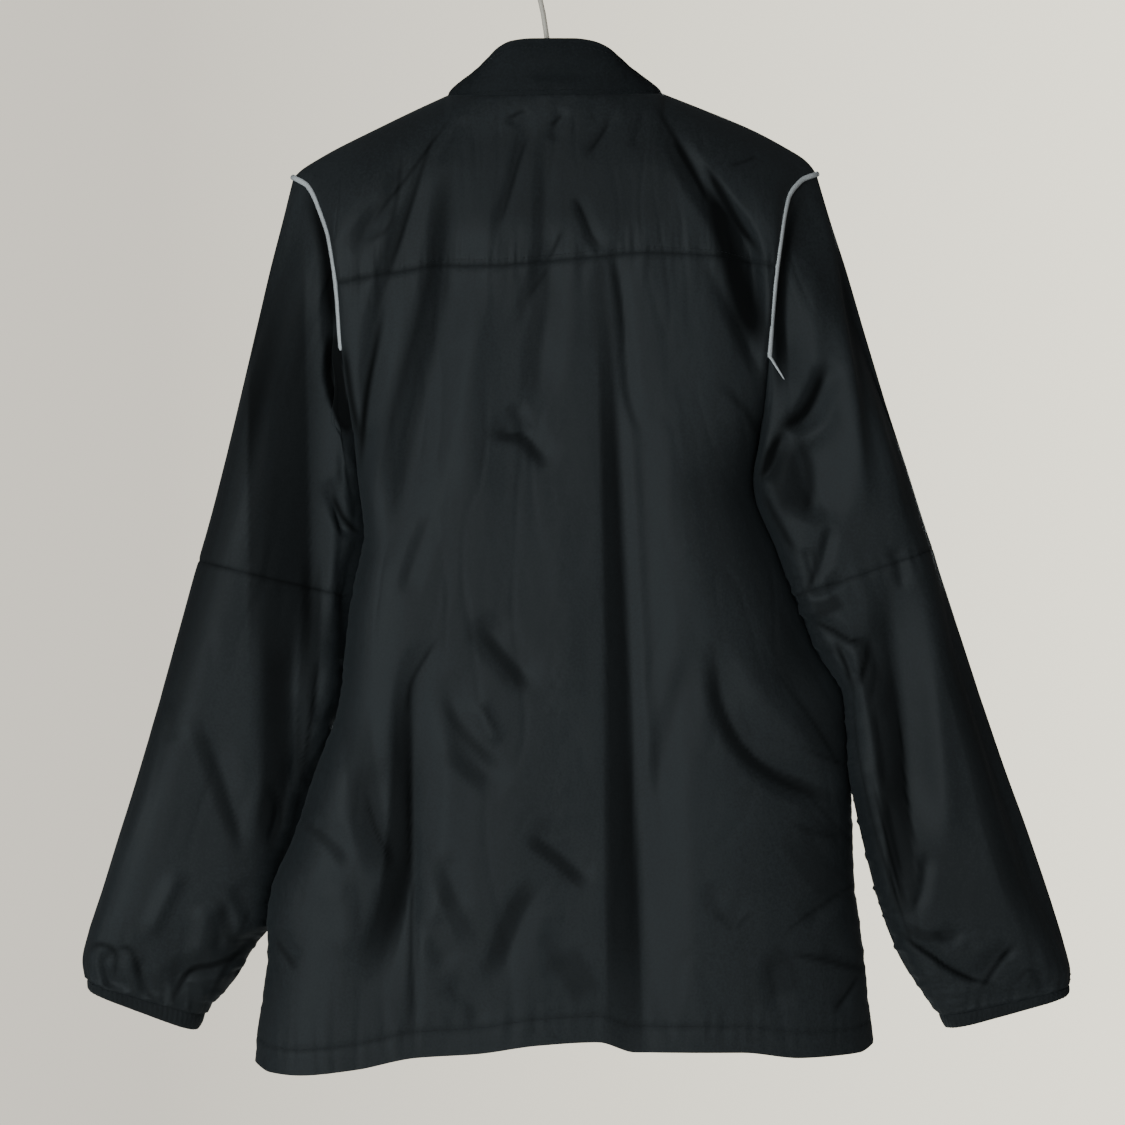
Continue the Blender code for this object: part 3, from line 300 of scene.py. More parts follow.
RIGHT_SLEEVE_FOLDS = [
    # Dent beside the piping
    (5, 13, 8, 11.5, 23.5, SOFT,
     ((196, -192), (185, -215), (180, -246), (177, -284), (178, -317), (179, -345))),
    # Long ridge down the sleeve
    (-4, -4, 8, 9.5, 4.5, SOFT, ((207, -195), (214, -237), (222, -299), (232, -370), (239, -448))),
    (3, 3.5, 7, 9, 18.5, SOFT, ((221, -221), (232, -299), (244, -377), (254, -448))),
    (2.5, 3, 7, 8, 14, SOFT, ((239, -292), (257, -354), (271, -416), (280, -467))),
    # Valley of the lower sleeve, inner side
    (8, 14, 15.5, 21.5, 28, SOFT, ((254, -479), (260, -541), (268, -604), (271, -658), (272, -705))),
    (4, 3, 5, 5, 8.5, CREASE, ((285, -702), (282, -732), (274, -752))),
    # Valley of the lower sleeve, outer side
    (6, 13, 17.5, 27.5, 35.5, SOFT,
     ((296, -469), (317, -557), (339, -619), (356, -674), (374, -732), (402, -795))),
    # Underarm creases
    (9, 12, 10.5, 11.5, 16, SOFT, ((211, -324), (202, -349), (192, -368), (177, -379))),
    (8, 8, 9, 9, 12, CREASE, ((176, -377), (169, -398), (158, -420))),
    (8, 10, 17.5, 23.5, 30.5, SOFT, ((188, -382), (196, -402), (197, -426), (191, -451))),
    (4, 4, 5, 6, 8.5, CREASE, ((212, -451), (207, -473), (201, -498))),
    # Elbow gathers
    (4, 4, 7, 7, 8.5, CREASE, ((191, -501), (205, -502), (224, -490))),
    (4.5, 4, 8, 8, 8.5, CREASE, ((197, -526), (214, -532), (230, -541), (241, -538))),
    (4, 4, 6, 6, 8.5, CREASE, ((216, -541), (224, -558), (229, -576))),
    (3.5, 3.5, 5, 5, 7, CREASE, ((241, -535), (238, -558), (230, -577))),
    (3, 3, 6, 6, 10, SOFT, ((239, -533), (246, -557), (243, -593))),
    (3, 3, 5, 5, 8.5, CREASE, ((191, -469), (196, -483), (200, -502))),
    (3, 3, 5, 5, 8.5, CREASE, ((257, -469), (263, -480), (268, -502))),
    # Cuff creases
    (4, 5, 4, 4, 8.5, CREASE, ((271, -772), (289, -781), (305, -795), (330, -806))),
    (5, 4, 6, 6, 12, SOFT, ((327, -806), (338, -788), (356, -777))),
    (3, 3, 7, 7, 12, SOFT, ((292, -763), (303, -772), (313, -761))),
    (2.5, 2.5, 6, 6, 10, SOFT, ((370, -795), (377, -810), (375, -822))),
    (-2.5, -3, 12.5, 14, 11, SOFT, ((288, -541), (296, -619), (308, -713))),
    (3, 4, 5, 5, 8.5, CREASE, ((254, -658), (260, -689), (269, -728))),
    (3, 3, 5, 5, 8.5, CREASE, ((244, -588), (250, -619), (254, -658))),
]

# Painted shade where the folds close and little light gets in: darkness instead of depth, then as above
BACK_PAINTED_SHADE = [
    # The deep trough, from a line to a closed fold
    (0.68, 1.01, 3, 4, 4, SOFT, ((75, -123), (84, -140), (99, -166), (114, -193))),
    (1.28, 1.82, 10, 14, 15.5, SOFT,
     ((111, -186), (121, -206), (128, -229), (134, -247), (141, -270), (150, -296), (160, -319))),
    (0.68, 0.68, 3, 3, 3, SOFT, ((114, -170), (123, -191), (138, -214), (151, -233), (163, -252))),
    # Crease to the left underarm
    (0.47, 0.74, 3, 3, 3, SOFT, ((-90, -140), (-100, -172), (-110, -205), (-120, -237), (-129, -264))),
    (0.68, 1.28, 4, 4.5, 4, SOFT, ((-130, -279), (-138, -319), (-145, -354), (-151, -413))),
    (0.54, 0.41, 3, 3, 3, SOFT, ((-117, -160), (-122, -205), (-130, -227), (-151, -236))),
    (0.47, 0.47, 9.5, 9.5, 8, SOFT, ((-83, -166), (-94, -252), (-107, -304), (-123, -362), (-139, -433))),
    # Main trough
    (0.42, 0.6, 4, 25, 7, BAND,
     ((33, -264), (39, -341), (43, -417), (48, -510), (52, -586), (55, -663), (58, -740), (61, -817),
      (62, -882))),
    # Lower left trough
    (0.5, 0.5, 3, 4, 3, BAND, ((-88, -536), (-99, -553), (-110, -574), (-113, -602))),
    (0.5, 0.6, 11, 26.5, 2.5, BAND,
     ((-111, -563), (-111, -617), (-111, -663), (-112, -701), (-114, -740), (-120, -770), (-130, -805))),
    (0.22, 0.26, 20.5, 26.5, 4, BAND, ((-145, -586), (-139, -640), (-131, -686), (-122, -724))),
    (0.4, 0.4, 3, 3, 2.5, BAND, ((-145, -655), (-139, -680), (-125, -712))),
    (0.4, 0.4, 7, 7, 6, BAND, ((-59, -529), (-44, -549), (-30, -565), (-19, -585))),
    (0.42, 0.6, 7, 13.5, 2.5, BAND,
     ((121, -537), (125, -579), (136, -608), (151, -628), (176, -643), (200, -652), (227, -662))),
    (0.3, 0.3, 4, 4, 22, BAND, ((151, -510), (174, -559), (193, -591), (214, -626), (231, -663))),
    (0.5, 0.5, 3, 3, 3, BAND, ((165, -553), (177, -574), (191, -594), (207, -617), (223, -645))),
    (0.5, 0.5, 3, 3, 3, BAND, ((184, -619), (210, -632), (250, -645))),
    (0.28, 0.28, 12.5, 12.5, 15.5, BAND, ((180, -683), (197, -715), (223, -737))),
    (0.55, 0.55, 3, 3, 3, BAND, ((191, -655), (214, -681), (246, -715))),
    # Crescent dent
    (0.4, 0.45, 6, 6, 5.5, DIP, ((-50, -381), (-38, -384), (-25, -387), (-13, -399), (-5, -408))),
    # Yoke: a broad band of painted shade across it
    (0.2, 0.2, 47, 47, 47, DIP, ((-119, -195), (-65, -187), (4, -186), (73, -187), (111, -195))),
    # Lines of the yoke
    (0.6, 0.5, 2.5, 2.5, 2.5, SOFT, ((-77, -133), (-96, -160), (-115, -187), (-130, -206), (-143, -227))),
    (0.55, 0.45, 2.5, 2.5, 2.5, SOFT, ((-18, -146), (-27, -171), (-34, -196), (-44, -228))),
    (0.5, 0.5, 2.5, 2.5, 2.5, SOFT, ((-38, -140), (-29, -136), (-21, -133))),
    (0.6, 0.6, 2.5, 2.5, 2.5, SOFT, ((-3, -146), (2, -140), (6, -137))),
    (0.55, 0.55, 2.5, 2.5, 2.5, SOFT, ((42, -141), (35, -154), (25, -168))),
    (0.6, 0.6, 2.5, 2.5, 2.5, SOFT, ((13, -199), (21, -213), (28, -230), (38, -244))),
    (1.1, 1.1, 3, 3, 2.5, SOFT, ((90, -155), (101, -173), (111, -190), (118, -206))),
    (0.8, 0.8, 3.5, 3.5, 3.5, SOFT, ((115, -174), (123, -187), (130, -199), (142, -221), (155, -241))),
    (0.5, 0.5, 2.5, 2.5, 2.5, SOFT, ((133, -176), (146, -172), (157, -166))),
    (0.5, 0.4, 3, 3, 3, SOFT, ((-5, -253), (-11, -264), (-22, -279))),
    (0.5, 0.4, 3, 3, 3, SOFT, ((42, -249), (45, -262), (49, -279), (53, -310))),
    (0.5, 0.5, 2.5, 2.5, 2.5, SOFT, ((6, -225), (1, -237), (-6, -250))),
    # Vertical crease to the hem
    (0.5, 0.45, 2.5, 2.5, 2.5, SOFT, ((-112, -625), (-112, -673), (-110, -740), (-110, -801), (-109, -855))),
    # Facets of the lower back
    (0.5, 0.5, 7, 7, 7, BAND, ((-25, -689), (-8, -701), (9, -715), (27, -732))),
    (0.38, 0.36, 8, 9.5, 9.5, BAND, ((-14, -721), (-27, -740), (-39, -767), (-50, -801))),
    (0.24, 0.24, 7, 11, 8, BAND, ((-94, -703), (-84, -731), (-71, -758), (-62, -778))),
    (0.3, 0.3, 15.5, 15.5, 15.5, DIP, ((4, -774), (15, -794), (28, -817))),
    (0.4, 0.3, 5.5, 8, 4.5, BAND, ((-197, -681), (-182, -688), (-168, -700), (-157, -714))),
    (0.7, 0.7, 4, 4, 4, SOFT, ((-217, -769), (-208, -781), (-197, -795))),
    (0.5, 0.5, 4.5, 4.5, 4, SOFT, ((178, -678), (200, -688), (227, -695))),
    (0.6, 0.6, 3, 3, 3, BAND, ((253, -718), (231, -731), (210, -742), (185, -758), (173, -769))),
    (0.55, 0.6, 4, 4, 4, BAND, ((176, -780), (205, -786), (250, -801))),
    (0.8, 0.8, 3, 3, 3, SOFT, ((213, -828), (225, -815), (236, -800))),
    (0.4, 0.4, 3, 3, 3, SOFT, ((121, -746), (128, -754), (136, -763))),
    (0.4, 0.4, 3, 3, 3, SOFT, ((137, -763), (145, -754), (152, -746))),
    (0.3, 0.3, 14, 14, 14, DIP, ((161, -774), (173, -794), (177, -817))),
    (0.36, 0.36, 5.5, 6, 5.5, BAND, ((-87, -582), (-74, -606), (-57, -625), (-42, -640))),
    (0.4, 0.4, 3, 3, 3, BAND, ((-59, -586), (-51, -597), (-42, -611))),
    (0.22, 0.22, 8, 8, 7, BAND, ((-85, -623), (-70, -638), (-50, -654))),
    # Under the left piping
    (1.1, 1.1, 5.5, 4.5, 4, SOFT, ((-163, -308), (-160, -330), (-157, -353), (-154, -370), (-151, -391))),
    # Beside the right underarm
    (0.54, 0.94, 4, 5.5, 6, SOFT, ((121, -341), (138, -356), (153, -375), (161, -396), (155, -420))),
]

# Painted shade on the left sleeve, in the same columns
LEFT_SLEEVE_PAINTED_SHADE = [
    # Hollow under the piping
    (1.6, 1.6, 11, 10, 7, DIP, ((-170, -299), (-169, -327), (-167, -349), (-162, -366), (-156, -385))),
    # Beside the piping
    (1, 1.3, 10, 10, 4.5, SOFT, ((-194, -182), (-185, -207), (-176, -239), (-173, -270), (-170, -307))),
    # Outer strip
    (0.42, 0.42, 23.5, 23.5, 31, DIP,
     ((-222, -253), (-246, -354), (-268, -440), (-292, -526), (-316, -611), (-333, -674))),
    # Outer band
    (0.46, 0.56, 25, 28, 22, BAND, ((-214, -210), (-213, -299), (-212, -393), (-211, -479), (-210, -580))),
    (0.7, 0.6, 22, 9.5, 12.5, DIP, ((-211, -510), (-213, -572), (-216, -635), (-222, -682), (-229, -725))),
    (0.8, 0.8, 3, 3, 3, SOFT, ((-175, -424), (-167, -443), (-158, -454), (-149, -462))),
    (0.4, 0.4, 11.5, 11.5, 2.5, BAND, ((-275, -591), (-269, -618), (-260, -646), (-249, -678), (-241, -705))),
    # Right side of the band
    (0.42, 0.42, 10, 6, 9.5, BAND, ((-190, -467), (-190, -526), (-194, -588), (-200, -643), (-205, -678))),
    (0.6, 0.6, 2.5, 2.5, 2.5, BAND, ((-182, -541), (-190, -604), (-199, -658), (-211, -713))),
    # Gathers at the cuff
    (0.7, 0.7, 3.5, 3.5, 3.5, SOFT, ((-363, -783), (-352, -776), (-340, -783), (-342, -805))),
    (0.7, 0.7, 3.5, 3.5, 3.5, SOFT, ((-341, -780), (-328, -780), (-321, -806))),
    (0.75, 0.75, 4, 4, 4, BAND,
     ((-303, -830), (-294, -814), (-283, -797), (-264, -793), (-247, -785), (-233, -771))),
    (0.55, 0.55, 3, 3, 4, BAND, ((-271, -828), (-260, -803), (-246, -783))),
    (0.5, 0.5, 5.5, 5.5, 5.5, BAND, ((-260, -738), (-255, -760), (-250, -783))),
    (0.4, 0.4, 3, 3, 3, BAND, ((-236, -748), (-243, -764), (-252, -781))),
]

# Painted shade on the right sleeve, in the same columns
RIGHT_SLEEVE_PAINTED_SHADE = [
    # Beside the piping
    (0.47, 1.49, 4.5, 5.5, 8.5, SOFT, ((185, -198), (176, -237), (172, -276), (171, -311), (173, -354))),
    # Underarm creases
    (0.68, 1.55, 4.5, 8.5, 5.5, SOFT, ((208, -327), (201, -348), (192, -365), (180, -374), (169, -379))),
    (1.08, 0.81, 4.5, 4, 4, SOFT, ((176, -379), (166, -395), (158, -420))),
    (0.81, 0.94, 4, 4.5, 4, SOFT, ((158, -421), (169, -444), (187, -477))),
    (0.5, 0.5, 15.5, 15.5, 15.5, DIP, ((171, -385), (177, -415), (189, -448))),
    (0.41, 0.54, 4.5, 5.5, 5.5, SOFT, ((183, -382), (195, -405), (196, -432), (190, -449))),
    # Elbow gathers
    (0.6, 0.6, 3, 3, 3, SOFT, ((199, -467), (200, -487), (193, -504))),
    (0.45, 0.45, 9.5, 8, 7, DIP, ((196, -516), (208, -515), (222, -507))),
    (0.75, 0.7, 4, 4.5, 3, SOFT, ((196, -524), (213, -532), (229, -541), (241, -538))),
    (0.7, 0.7, 3, 3, 3, SOFT, ((216, -543), (224, -560), (230, -580))),
    (0.5, 0.5, 4, 4, 3, SOFT, ((243, -538), (240, -558), (232, -580))),
    # Inner side of the lower sleeve
    (0.55, 0.62, 20.5, 12.5, 9.5, BAND, ((243, -510), (252, -565), (261, -627), (268, -705), (273, -767))),
    (0.62, 0.7, 2.5, 3, 2.5, BAND,
     ((229, -557), (232, -610), (238, -650), (248, -692), (263, -738), (280, -788))),
    (0.45, 0.6, 2, 2.5, 2.5, BAND, ((257, -549), (264, -588), (271, -661), (280, -719), (275, -753))),
    (0.6, 0.6, 3, 3, 3, BAND, ((243, -643), (258, -705), (274, -758))),
    # Outer side of the lower sleeve
    (0.3, 0.45, 7, 12.5, 8.5, BAND,
     ((289, -510), (307, -572), (325, -635), (339, -689), (358, -740), (378, -771))),
    # Creases at the cuff
    (0.8, 0.85, 3.5, 3.5, 3.5, BAND,
     ((264, -763), (278, -776), (292, -786), (307, -795), (322, -802), (339, -806))),
    (0.42, 0.42, 6, 6, 6, BAND, ((268, -760), (286, -768), (310, -767))),
    (0.75, 0.75, 3.5, 3.5, 3.5, BAND, ((327, -813), (338, -794), (355, -771))),
    (0.5, 0.5, 3, 3, 3, SOFT, ((355, -806), (363, -795), (374, -797))),
]

FRONT_FOLDS = [
    (4, 7, 10, 12, 9, SOFT, ((-92, -190), (-98, -300), (-110, -420), (-128, -560))),
    (4, 7, 9, 10, 12, SOFT, ((92, -190), (102, -300), (116, -420), (134, -560))),
    (4, 9, 12, 20, 10, SOFT, ((-58, -430), (-66, -600), (-78, -750), (-95, -930))),
    (4, 9, 10, 14, 18, SOFT, ((64, -430), (74, -600), (84, -750), (96, -930))),
    (3, 6, 12, 18, 10, SOFT, ((-150, -560), (-158, -680), (-166, -780), (-172, -930))),
    (3, 6, 10, 14, 16, SOFT, ((160, -540), (172, -680), (182, -780), (188, -930))),
    (3, 3, 8, 8, 6, CREASE, ((-60, -190), (-84, -220), (-120, -300), (-150, -380))),
    (3, 3, 6, 6, 8, CREASE, ((60, -190), (86, -225), (122, -300), (152, -380))),
    (2, 2, 8, 8, 8, SOFT, ((-30, -240), (-34, -330), (-30, -420))),
    (2, 2, 8, 8, 8, SOFT, ((34, -260), (38, -350), (34, -440))),
]

# Curves and noise

def along(table, at, key=0, value=1):
    """Smooth lookup in a table's columns: a curve through its rows that never overshoots them."""
    rows = sorted((row[key], row[value]) for row in table)
    x, y = np.array(rows, float).T
    at = np.clip(np.asarray(at, float), x[0], x[-1])
    step = np.diff(x)
    rate = np.diff(y) / step
    slope = np.concatenate([rate[:1], np.zeros(len(rate) - 1), rate[-1:]])
    same = rate[:-1] * rate[1:] > 0
    total = np.where(same, rate[:-1] + rate[1:], 1.0)
    slope[1:-1] = np.where(same, 2 * rate[:-1] * rate[1:] / total, 0.0)
    k = np.clip(np.searchsorted(x, at, side="right") - 1, 0, len(step) - 1)
    t = (at - x[k]) / step[k]
    bend = y[k] * (1 + 2 * t) * (1 - t) ** 2 + y[k + 1] * t * t * (3 - 2 * t)
    return bend + step[k] * (slope[k] * t * (1 - t) ** 2 - slope[k + 1] * t * t * (1 - t))


def smooth(q):
    q = np.clip(q, 0.0, 1.0)
    return q * q * (3 - 2 * q)


def rise(q, power=1.6):
    """0 at 0 and 1 from 1 on, leaving steeply and arriving level."""
    q = np.clip(q, 0.0, 1.0)
    return (1 - (1 - q) ** power) ** (1 / power)


def lattice_angle(i, j, seed):
    n = (i * 374761393 + j * 668265263 + seed * 144269504) & 0xFFFFFFFF
    n = ((n ^ (n >> 13)) * 1274126177) & 0xFFFFFFFF
    return ((n ^ (n >> 16)) & 0xFFFF) / 65535.0 * 2 * math.pi


def noise(u, v, seed):
    """Gradient noise from about -1 to 1."""
    i, j = np.floor(u).astype(np.int64), np.floor(v).astype(np.int64)
    fu, fv = u - i, v - j

    def corner(a, b):
        angle = lattice_angle(i + a, j + b, seed)
        return np.cos(angle) * (fu - a) + np.sin(angle) * (fv - b)

    su, sv = fu ** 3 * (fu * (6 * fu - 15) + 10), fv ** 3 * (fv * (6 * fv - 15) + 10)
    low = corner(0, 0) * (1 - su) + corner(1, 0) * su
    high = corner(0, 1) * (1 - su) + corner(1, 1) * su
    return 1.5 * (low * (1 - sv) + high * sv)


def crumple(u, v, seed):
    """Dents and creases of worn cloth in millimetres, drawn out along v."""
    wu = u + 7 * noise(u / 61, v / 130, seed + 1)
    dents = 1.1 * noise(wu / 52, v / 120, seed) + 0.3 * noise(wu / 24, v / 60, seed + 3)
    fine = 0.12 * noise(wu / 8, v / 17, seed + 4)
    crease = (1 - np.abs(noise(wu / 37, (v + u) / 170, seed + 5))) ** 14
    thin = (1 - np.abs(noise(wu / 15, (v - u) / 90, seed + 7))) ** 9
    gathered = smooth(0.45 + noise(u / 80, v / 90, seed + 6))
    spread = smooth(0.4 - noise(u / 70, v / 80, seed + 8))
    return dents + fine + 0.9 * crease * gathered + 0.22 * thin * spread


def fan(x, z):
    """Folds of the back spread out on their way down from the neck."""
    return x / (0.6 + 0.4 * smooth((-z - 100) / 600))


def run_along(path):
    """Distance of each point of a path from its start."""
    return np.concatenate([[0], np.cumsum(np.linalg.norm(np.diff(path, axis=0), axis=1))])


def bent_path(path, steps=6):
    """A curve through a fold's points."""
    path = np.array(path, float)
    ends = np.vstack([2 * path[0] - path[1], path, 2 * path[-1] - path[-2]])
    points = []
    for a, b, c, d in zip(ends, ends[1:], ends[2:], ends[3:]):
        for k in range(steps):
            t = k / steps
            points.append(0.5 * (2 * b + (c - a) * t + (2 * a - 5 * b + 4 * c - d) * t * t
                                 + (3 * b - a - 3 * c + d) * t ** 3))
    return np.array(points + [path[-1]])


def fold_push(x, z, folds):
    """How far the folds push the cloth inward at these places."""
    push = np.zeros(x.shape)
    for first, last, left_first, left_last, right, profile, path in folds:
        path = bent_path(path)
        around = 4 * max(left_first, left_last, right)
        low, high = path.min(axis=0) - around, path.max(axis=0) + around
        near = (x > low[0]) & (x < high[0]) & (z > low[1]) & (z < high[1])
        if not near.any():
            continue
        spot = np.stack([x[near], z[near]], axis=1)
        best = np.full(len(spot), 1e9)
        way, turn = np.zeros(len(spot)), np.ones(len(spot))
        run = run_along(path)
        for k in range(len(path) - 1):
            step = path[k + 1] - path[k]
            offset = spot - path[k]
            t = np.clip((offset @ step) / (step @ step), 0, 1)
            apart = np.linalg.norm(offset - t[:, None] * step, axis=1)
            closer = apart < best
            best[closer] = apart[closer]
            way[closer] = (run[k] + t[closer] * (run[k + 1] - run[k])) / run[-1]
            turn[closer] = np.sign(step[0] * offset[closer, 1] - step[1] * offset[closer, 0])
        left = left_first + (left_last - left_first) * way
        reach = np.where(turn > 0, right, left)
        q = best / reach
        if first < 0:
            shape = np.exp(-1.1 * q * q)
        elif profile == DIP:
            shape = smooth((1 - q) / 0.5)
        elif profile == BAND:
            shape = smooth((1 - q) * reach / BAND_EDGE)
        else:
            floor, foot = (0.01, 0.25) if profile == CREASE else (0.02, 0.12)
            inner = np.sqrt(q * q + floor)
            shape = 0.5 * (1 - inner + np.sqrt((1 - inner) ** 2 + foot ** 2))
        fade = smooth(way / 0.3 + 0.1) * smooth((1 - way) / 0.3 + 0.1)
        push[near] += (first + (last - first) * way) * shape * fade
    return push


def painted_fold_shade(points, folds, painted_shades, seams=()):
    """How much painted shade the back half of the cloth takes, from 0 to 1.

    It is painted in steep folds, where folds close, and in seams.
    """
    # Painted shade in steep folds, from their depth and width
    steep = [(0.45 * first / wide_first, 0.45 * last / wide_last, 0.6 * wide_first, 0.6 * wide_last,
              0.35 * min(right, wide_first), profile, path)
             for first, last, wide_first, wide_last, right, profile, path in folds if first > 0]
    dark = fold_push(points[..., 0], points[..., 2], steep + painted_shades)
    # Painted shade along the seams
    for seam in seams:
        dark += 0.3 * np.exp(-((points[..., 2] - along(seam, points[..., 0])) / 1.8) ** 2)
    return np.clip(dark, 0, 1) * smooth(1 - points[..., 1] / 15)


# Body

def side_tables(side):
    if side < 0:
        return RIDGE_LEFT, ARMHOLE_LEFT, SIDE_LEFT, SLEEVE_LEFT
    return RIDGE_RIGHT, ARMHOLE_RIGHT, SIDE_RIGHT, SLEEVE_RIGHT


def underarm_z(side):
    return side_tables(side)[1][-1][1]


def edge_x(side, z):
    """The body's outer edge at this height: the armhole above the underarm, the side seam below it."""
    _, armhole, seam, _ = side_tables(side)
    return np.where(z > underarm_z(side), along(armhole, z, 1, 0), along(seam, z, 1, 0))


def side_y(side, z):
    """The side seam drifts off the middle plane, so that the sleeve lies beside it."""
    return side * SIDE_SHIFT * smooth((underarm_z(side) - z) / 45)


def body_depth(side, share, z, edge_z):
    """Half depth of the body, before the shoulder rounds it off."""
    n, m_high, m_low = BODY_FULLNESS
    m = m_high + (m_low - m_high) * smooth((underarm_z(side) - edge_z) / 220)
    full = np.maximum(1 - share ** n, 0) ** m
    above = edge_z - underarm_z(side)
    ring = rise(above / UNDERARM_ROUND, 2.0)
    soft = smooth((above + 90) / 230)
    edge = ARM_DEPTH * (soft + (ring - soft) * smooth((share - 0.82) / 0.18))
    return edge + (along(BODY_DEPTH, z) - edge) * full


def ridge_z(side, x):
    return along(side_tables(side)[0], x)


def top_point(side, share, back):
    """The top edge of the body: the neckline inside the neck points, the shoulder ridge outside them."""
    x = side * share * SHOULDER_HALF
    inside = share < NECK_SHARE
    bow = np.sqrt(np.maximum(0.0, 1 - (x / NECK_HALF) ** 2)) * inside
    level = ridge_z(side, np.where(inside, side * NECK_HALF, x))
    middle = 0.5 * (RIDGE_LEFT[0][1] + RIDGE_RIGHT[0][1])
    level = np.where(inside, middle + (level - middle) * share / NECK_SHARE, level)
    if back:
        return x, NECK_BACK_DEPTH * bow, level - BACK_NECK_DIP * bow
    return x, NECK_FRONT_DEPTH * bow, level - NECK_FRONT_DROP * bow ** 2


def row_levels(side, share, down, back):
    """Height of a row on a column, and at the column of the armhole and side seam.

    down runs from 0 at the top over 1 at the yoke seam and 2 at the underarm to 3 at the hem.
    """
    top_z = top_point(side, share, back)[2]
    armhole_top = side_tables(side)[1][0][1]
    under = underarm_z(side)
    middle = 0.5 * (underarm_z(-1) + underarm_z(1))
    level = middle + (under - middle) * share
    edge_seam = along(YOKE, side * YOKE_HALF)
    hem = along(HEM, side * share * abs(HEM[0 if side < 0 else -1][0]))
    first, second, third = np.clip(down, 0, 1), np.clip(down - 1, 0, 1), np.clip(down - 2, 0, 1)
    edge_z = armhole_top + (edge_seam - armhole_top) * first + (under - edge_seam) * second
    if back:
        seam = along(YOKE, side * share * YOKE_HALF)
        z = top_z + (seam - top_z) * first + (level - seam) * second
    else:
        z = top_z + (level - top_z) * (armhole_top - edge_z) / (armhole_top - under)
    edge_z = edge_z + (along(HEM, side * 400.0) - under) * third
    return z + (hem - level) * third, edge_z


def body_surface(side, share, down, back):
    """Points of the body's plain surface, without folds."""
    top_x, top_y, top_z = top_point(side, share, back)
    z, edge_z = row_levels(side, share, down, back)
    out = np.clip((share - NECK_SHARE) / (1 - NECK_SHARE), 0, 1) ** 1.5
    settle = np.maximum(out, smooth((top_z - z) / 90))
    at_edge = smooth((share - 0.94) / 0.06) * smooth((underarm_z(side) - z - 20) / 60)
    ripple = noise(z / 7.5, 0 * z, RIPPLE_SEED) * at_edge
    x = top_x + (share * edge_x(side, edge_z) - top_x) * settle + side * ripple
    depth = body_depth(side, share, z, edge_z)
    y = top_y + (depth - top_y) * rise((top_z - z) / RIDGE_ROUND)
    shift = side_y(side, edge_z) * smooth((share - 0.55) / 0.45)
    return np.stack([x, (-y if back else y) + shift, z], axis=-1)


def seam_groove(apart, width, depth):
    """Where two pieces are sewn, the cloth dips in."""
    return depth * np.exp(-(apart / width) ** 2)


def seam_pucker(run, apart, seed, reach, height, pitch):
    """Short gathers across a seam, at this run along it and this far from it."""
    wave = noise(run / pitch, apart / 60 + 7, seed) + 0.5 * noise(run / (pitch * 0.45), apart / 40, seed + 1)
    return height * wave * np.exp(-(np.abs(apart) / reach))


def grid_normals(points, outward, closed=False):
    """Directions of the outer face of a grid of points."""
    if closed:
        across = np.roll(points, -1, axis=1) - np.roll(points, 1, axis=1)
    else:
        across = np.gradient(points, axis=1)
    normals = np.cross(across, np.gradient(points, axis=0))
    normals /= np.maximum(np.linalg.norm(normals, axis=2, keepdims=True), 1e-9)
    return normals * (1 if (normals * outward).sum() > 0 else -1)


def panel_outward(points, back):
    outward = np.zeros(points.shape)
    outward[..., 1] = -1 if back else 1
    return outward


def tube_outward(points):
    return points - points.mean(axis=1, keepdims=True)


def column_shares(count, start=0.0):
    """Shares of the half width, closer together toward the edge."""
    t = np.linspace(0, 1, count)
    return start + (1 - start) * (1 - (1 - t) ** 1.45)


def back_panel(down, half_columns, seed, strength):
    """The back from side to side, over these rows: points in rows and columns."""
    halves = []
    for side in (-1, 1):
        share, level = np.meshgrid(column_shares(half_columns), down)
        points = body_surface(side, share, level, True)
        x, z = points[..., 0], points[..., 2]
        top_z = row_levels(side, share, 0 * level, True)[0]
        hem_z = row_levels(side, share, 0 * level + 3, True)[0]
        seam_z = along(YOKE, side * share * YOKE_HALF)
        free = smooth((1 - share) / 0.10) * smooth((top_z - z) / 26)
        push = free * fold_push(x, z, BACK_FOLDS) * strength
        push += free * crumple(fan(x, z), z, seed) * 0.8 * strength
        push += seam_pucker(x, z - seam_z, seed + 20, 13, 1.6, 9) + seam_groove(z - seam_z, 1.8, 1.2)
        push += seam_pucker(x, top_z - z, seed + 24, 16, 0.9, 12) * (share < NECK_SHARE)
        stitched = z - hem_z - HEM_HEIGHT
        push += seam_pucker(x, stitched, seed + 28, 12, 1.2, 9) + seam_groove(stitched, 1.6, 0.9)
        edge = (1 - share) * np.abs(x)
        below = smooth((underarm_z(side) + 40 - z) / 40)
        push += seam_pucker(z, edge, seed + 32, 9, 0.8, 10) * smooth(edge / 3) * below
        points[..., 1] += push
        halves.append(points)
    return np.concatenate([halves[0][:, :0:-1], halves[1]], axis=1)


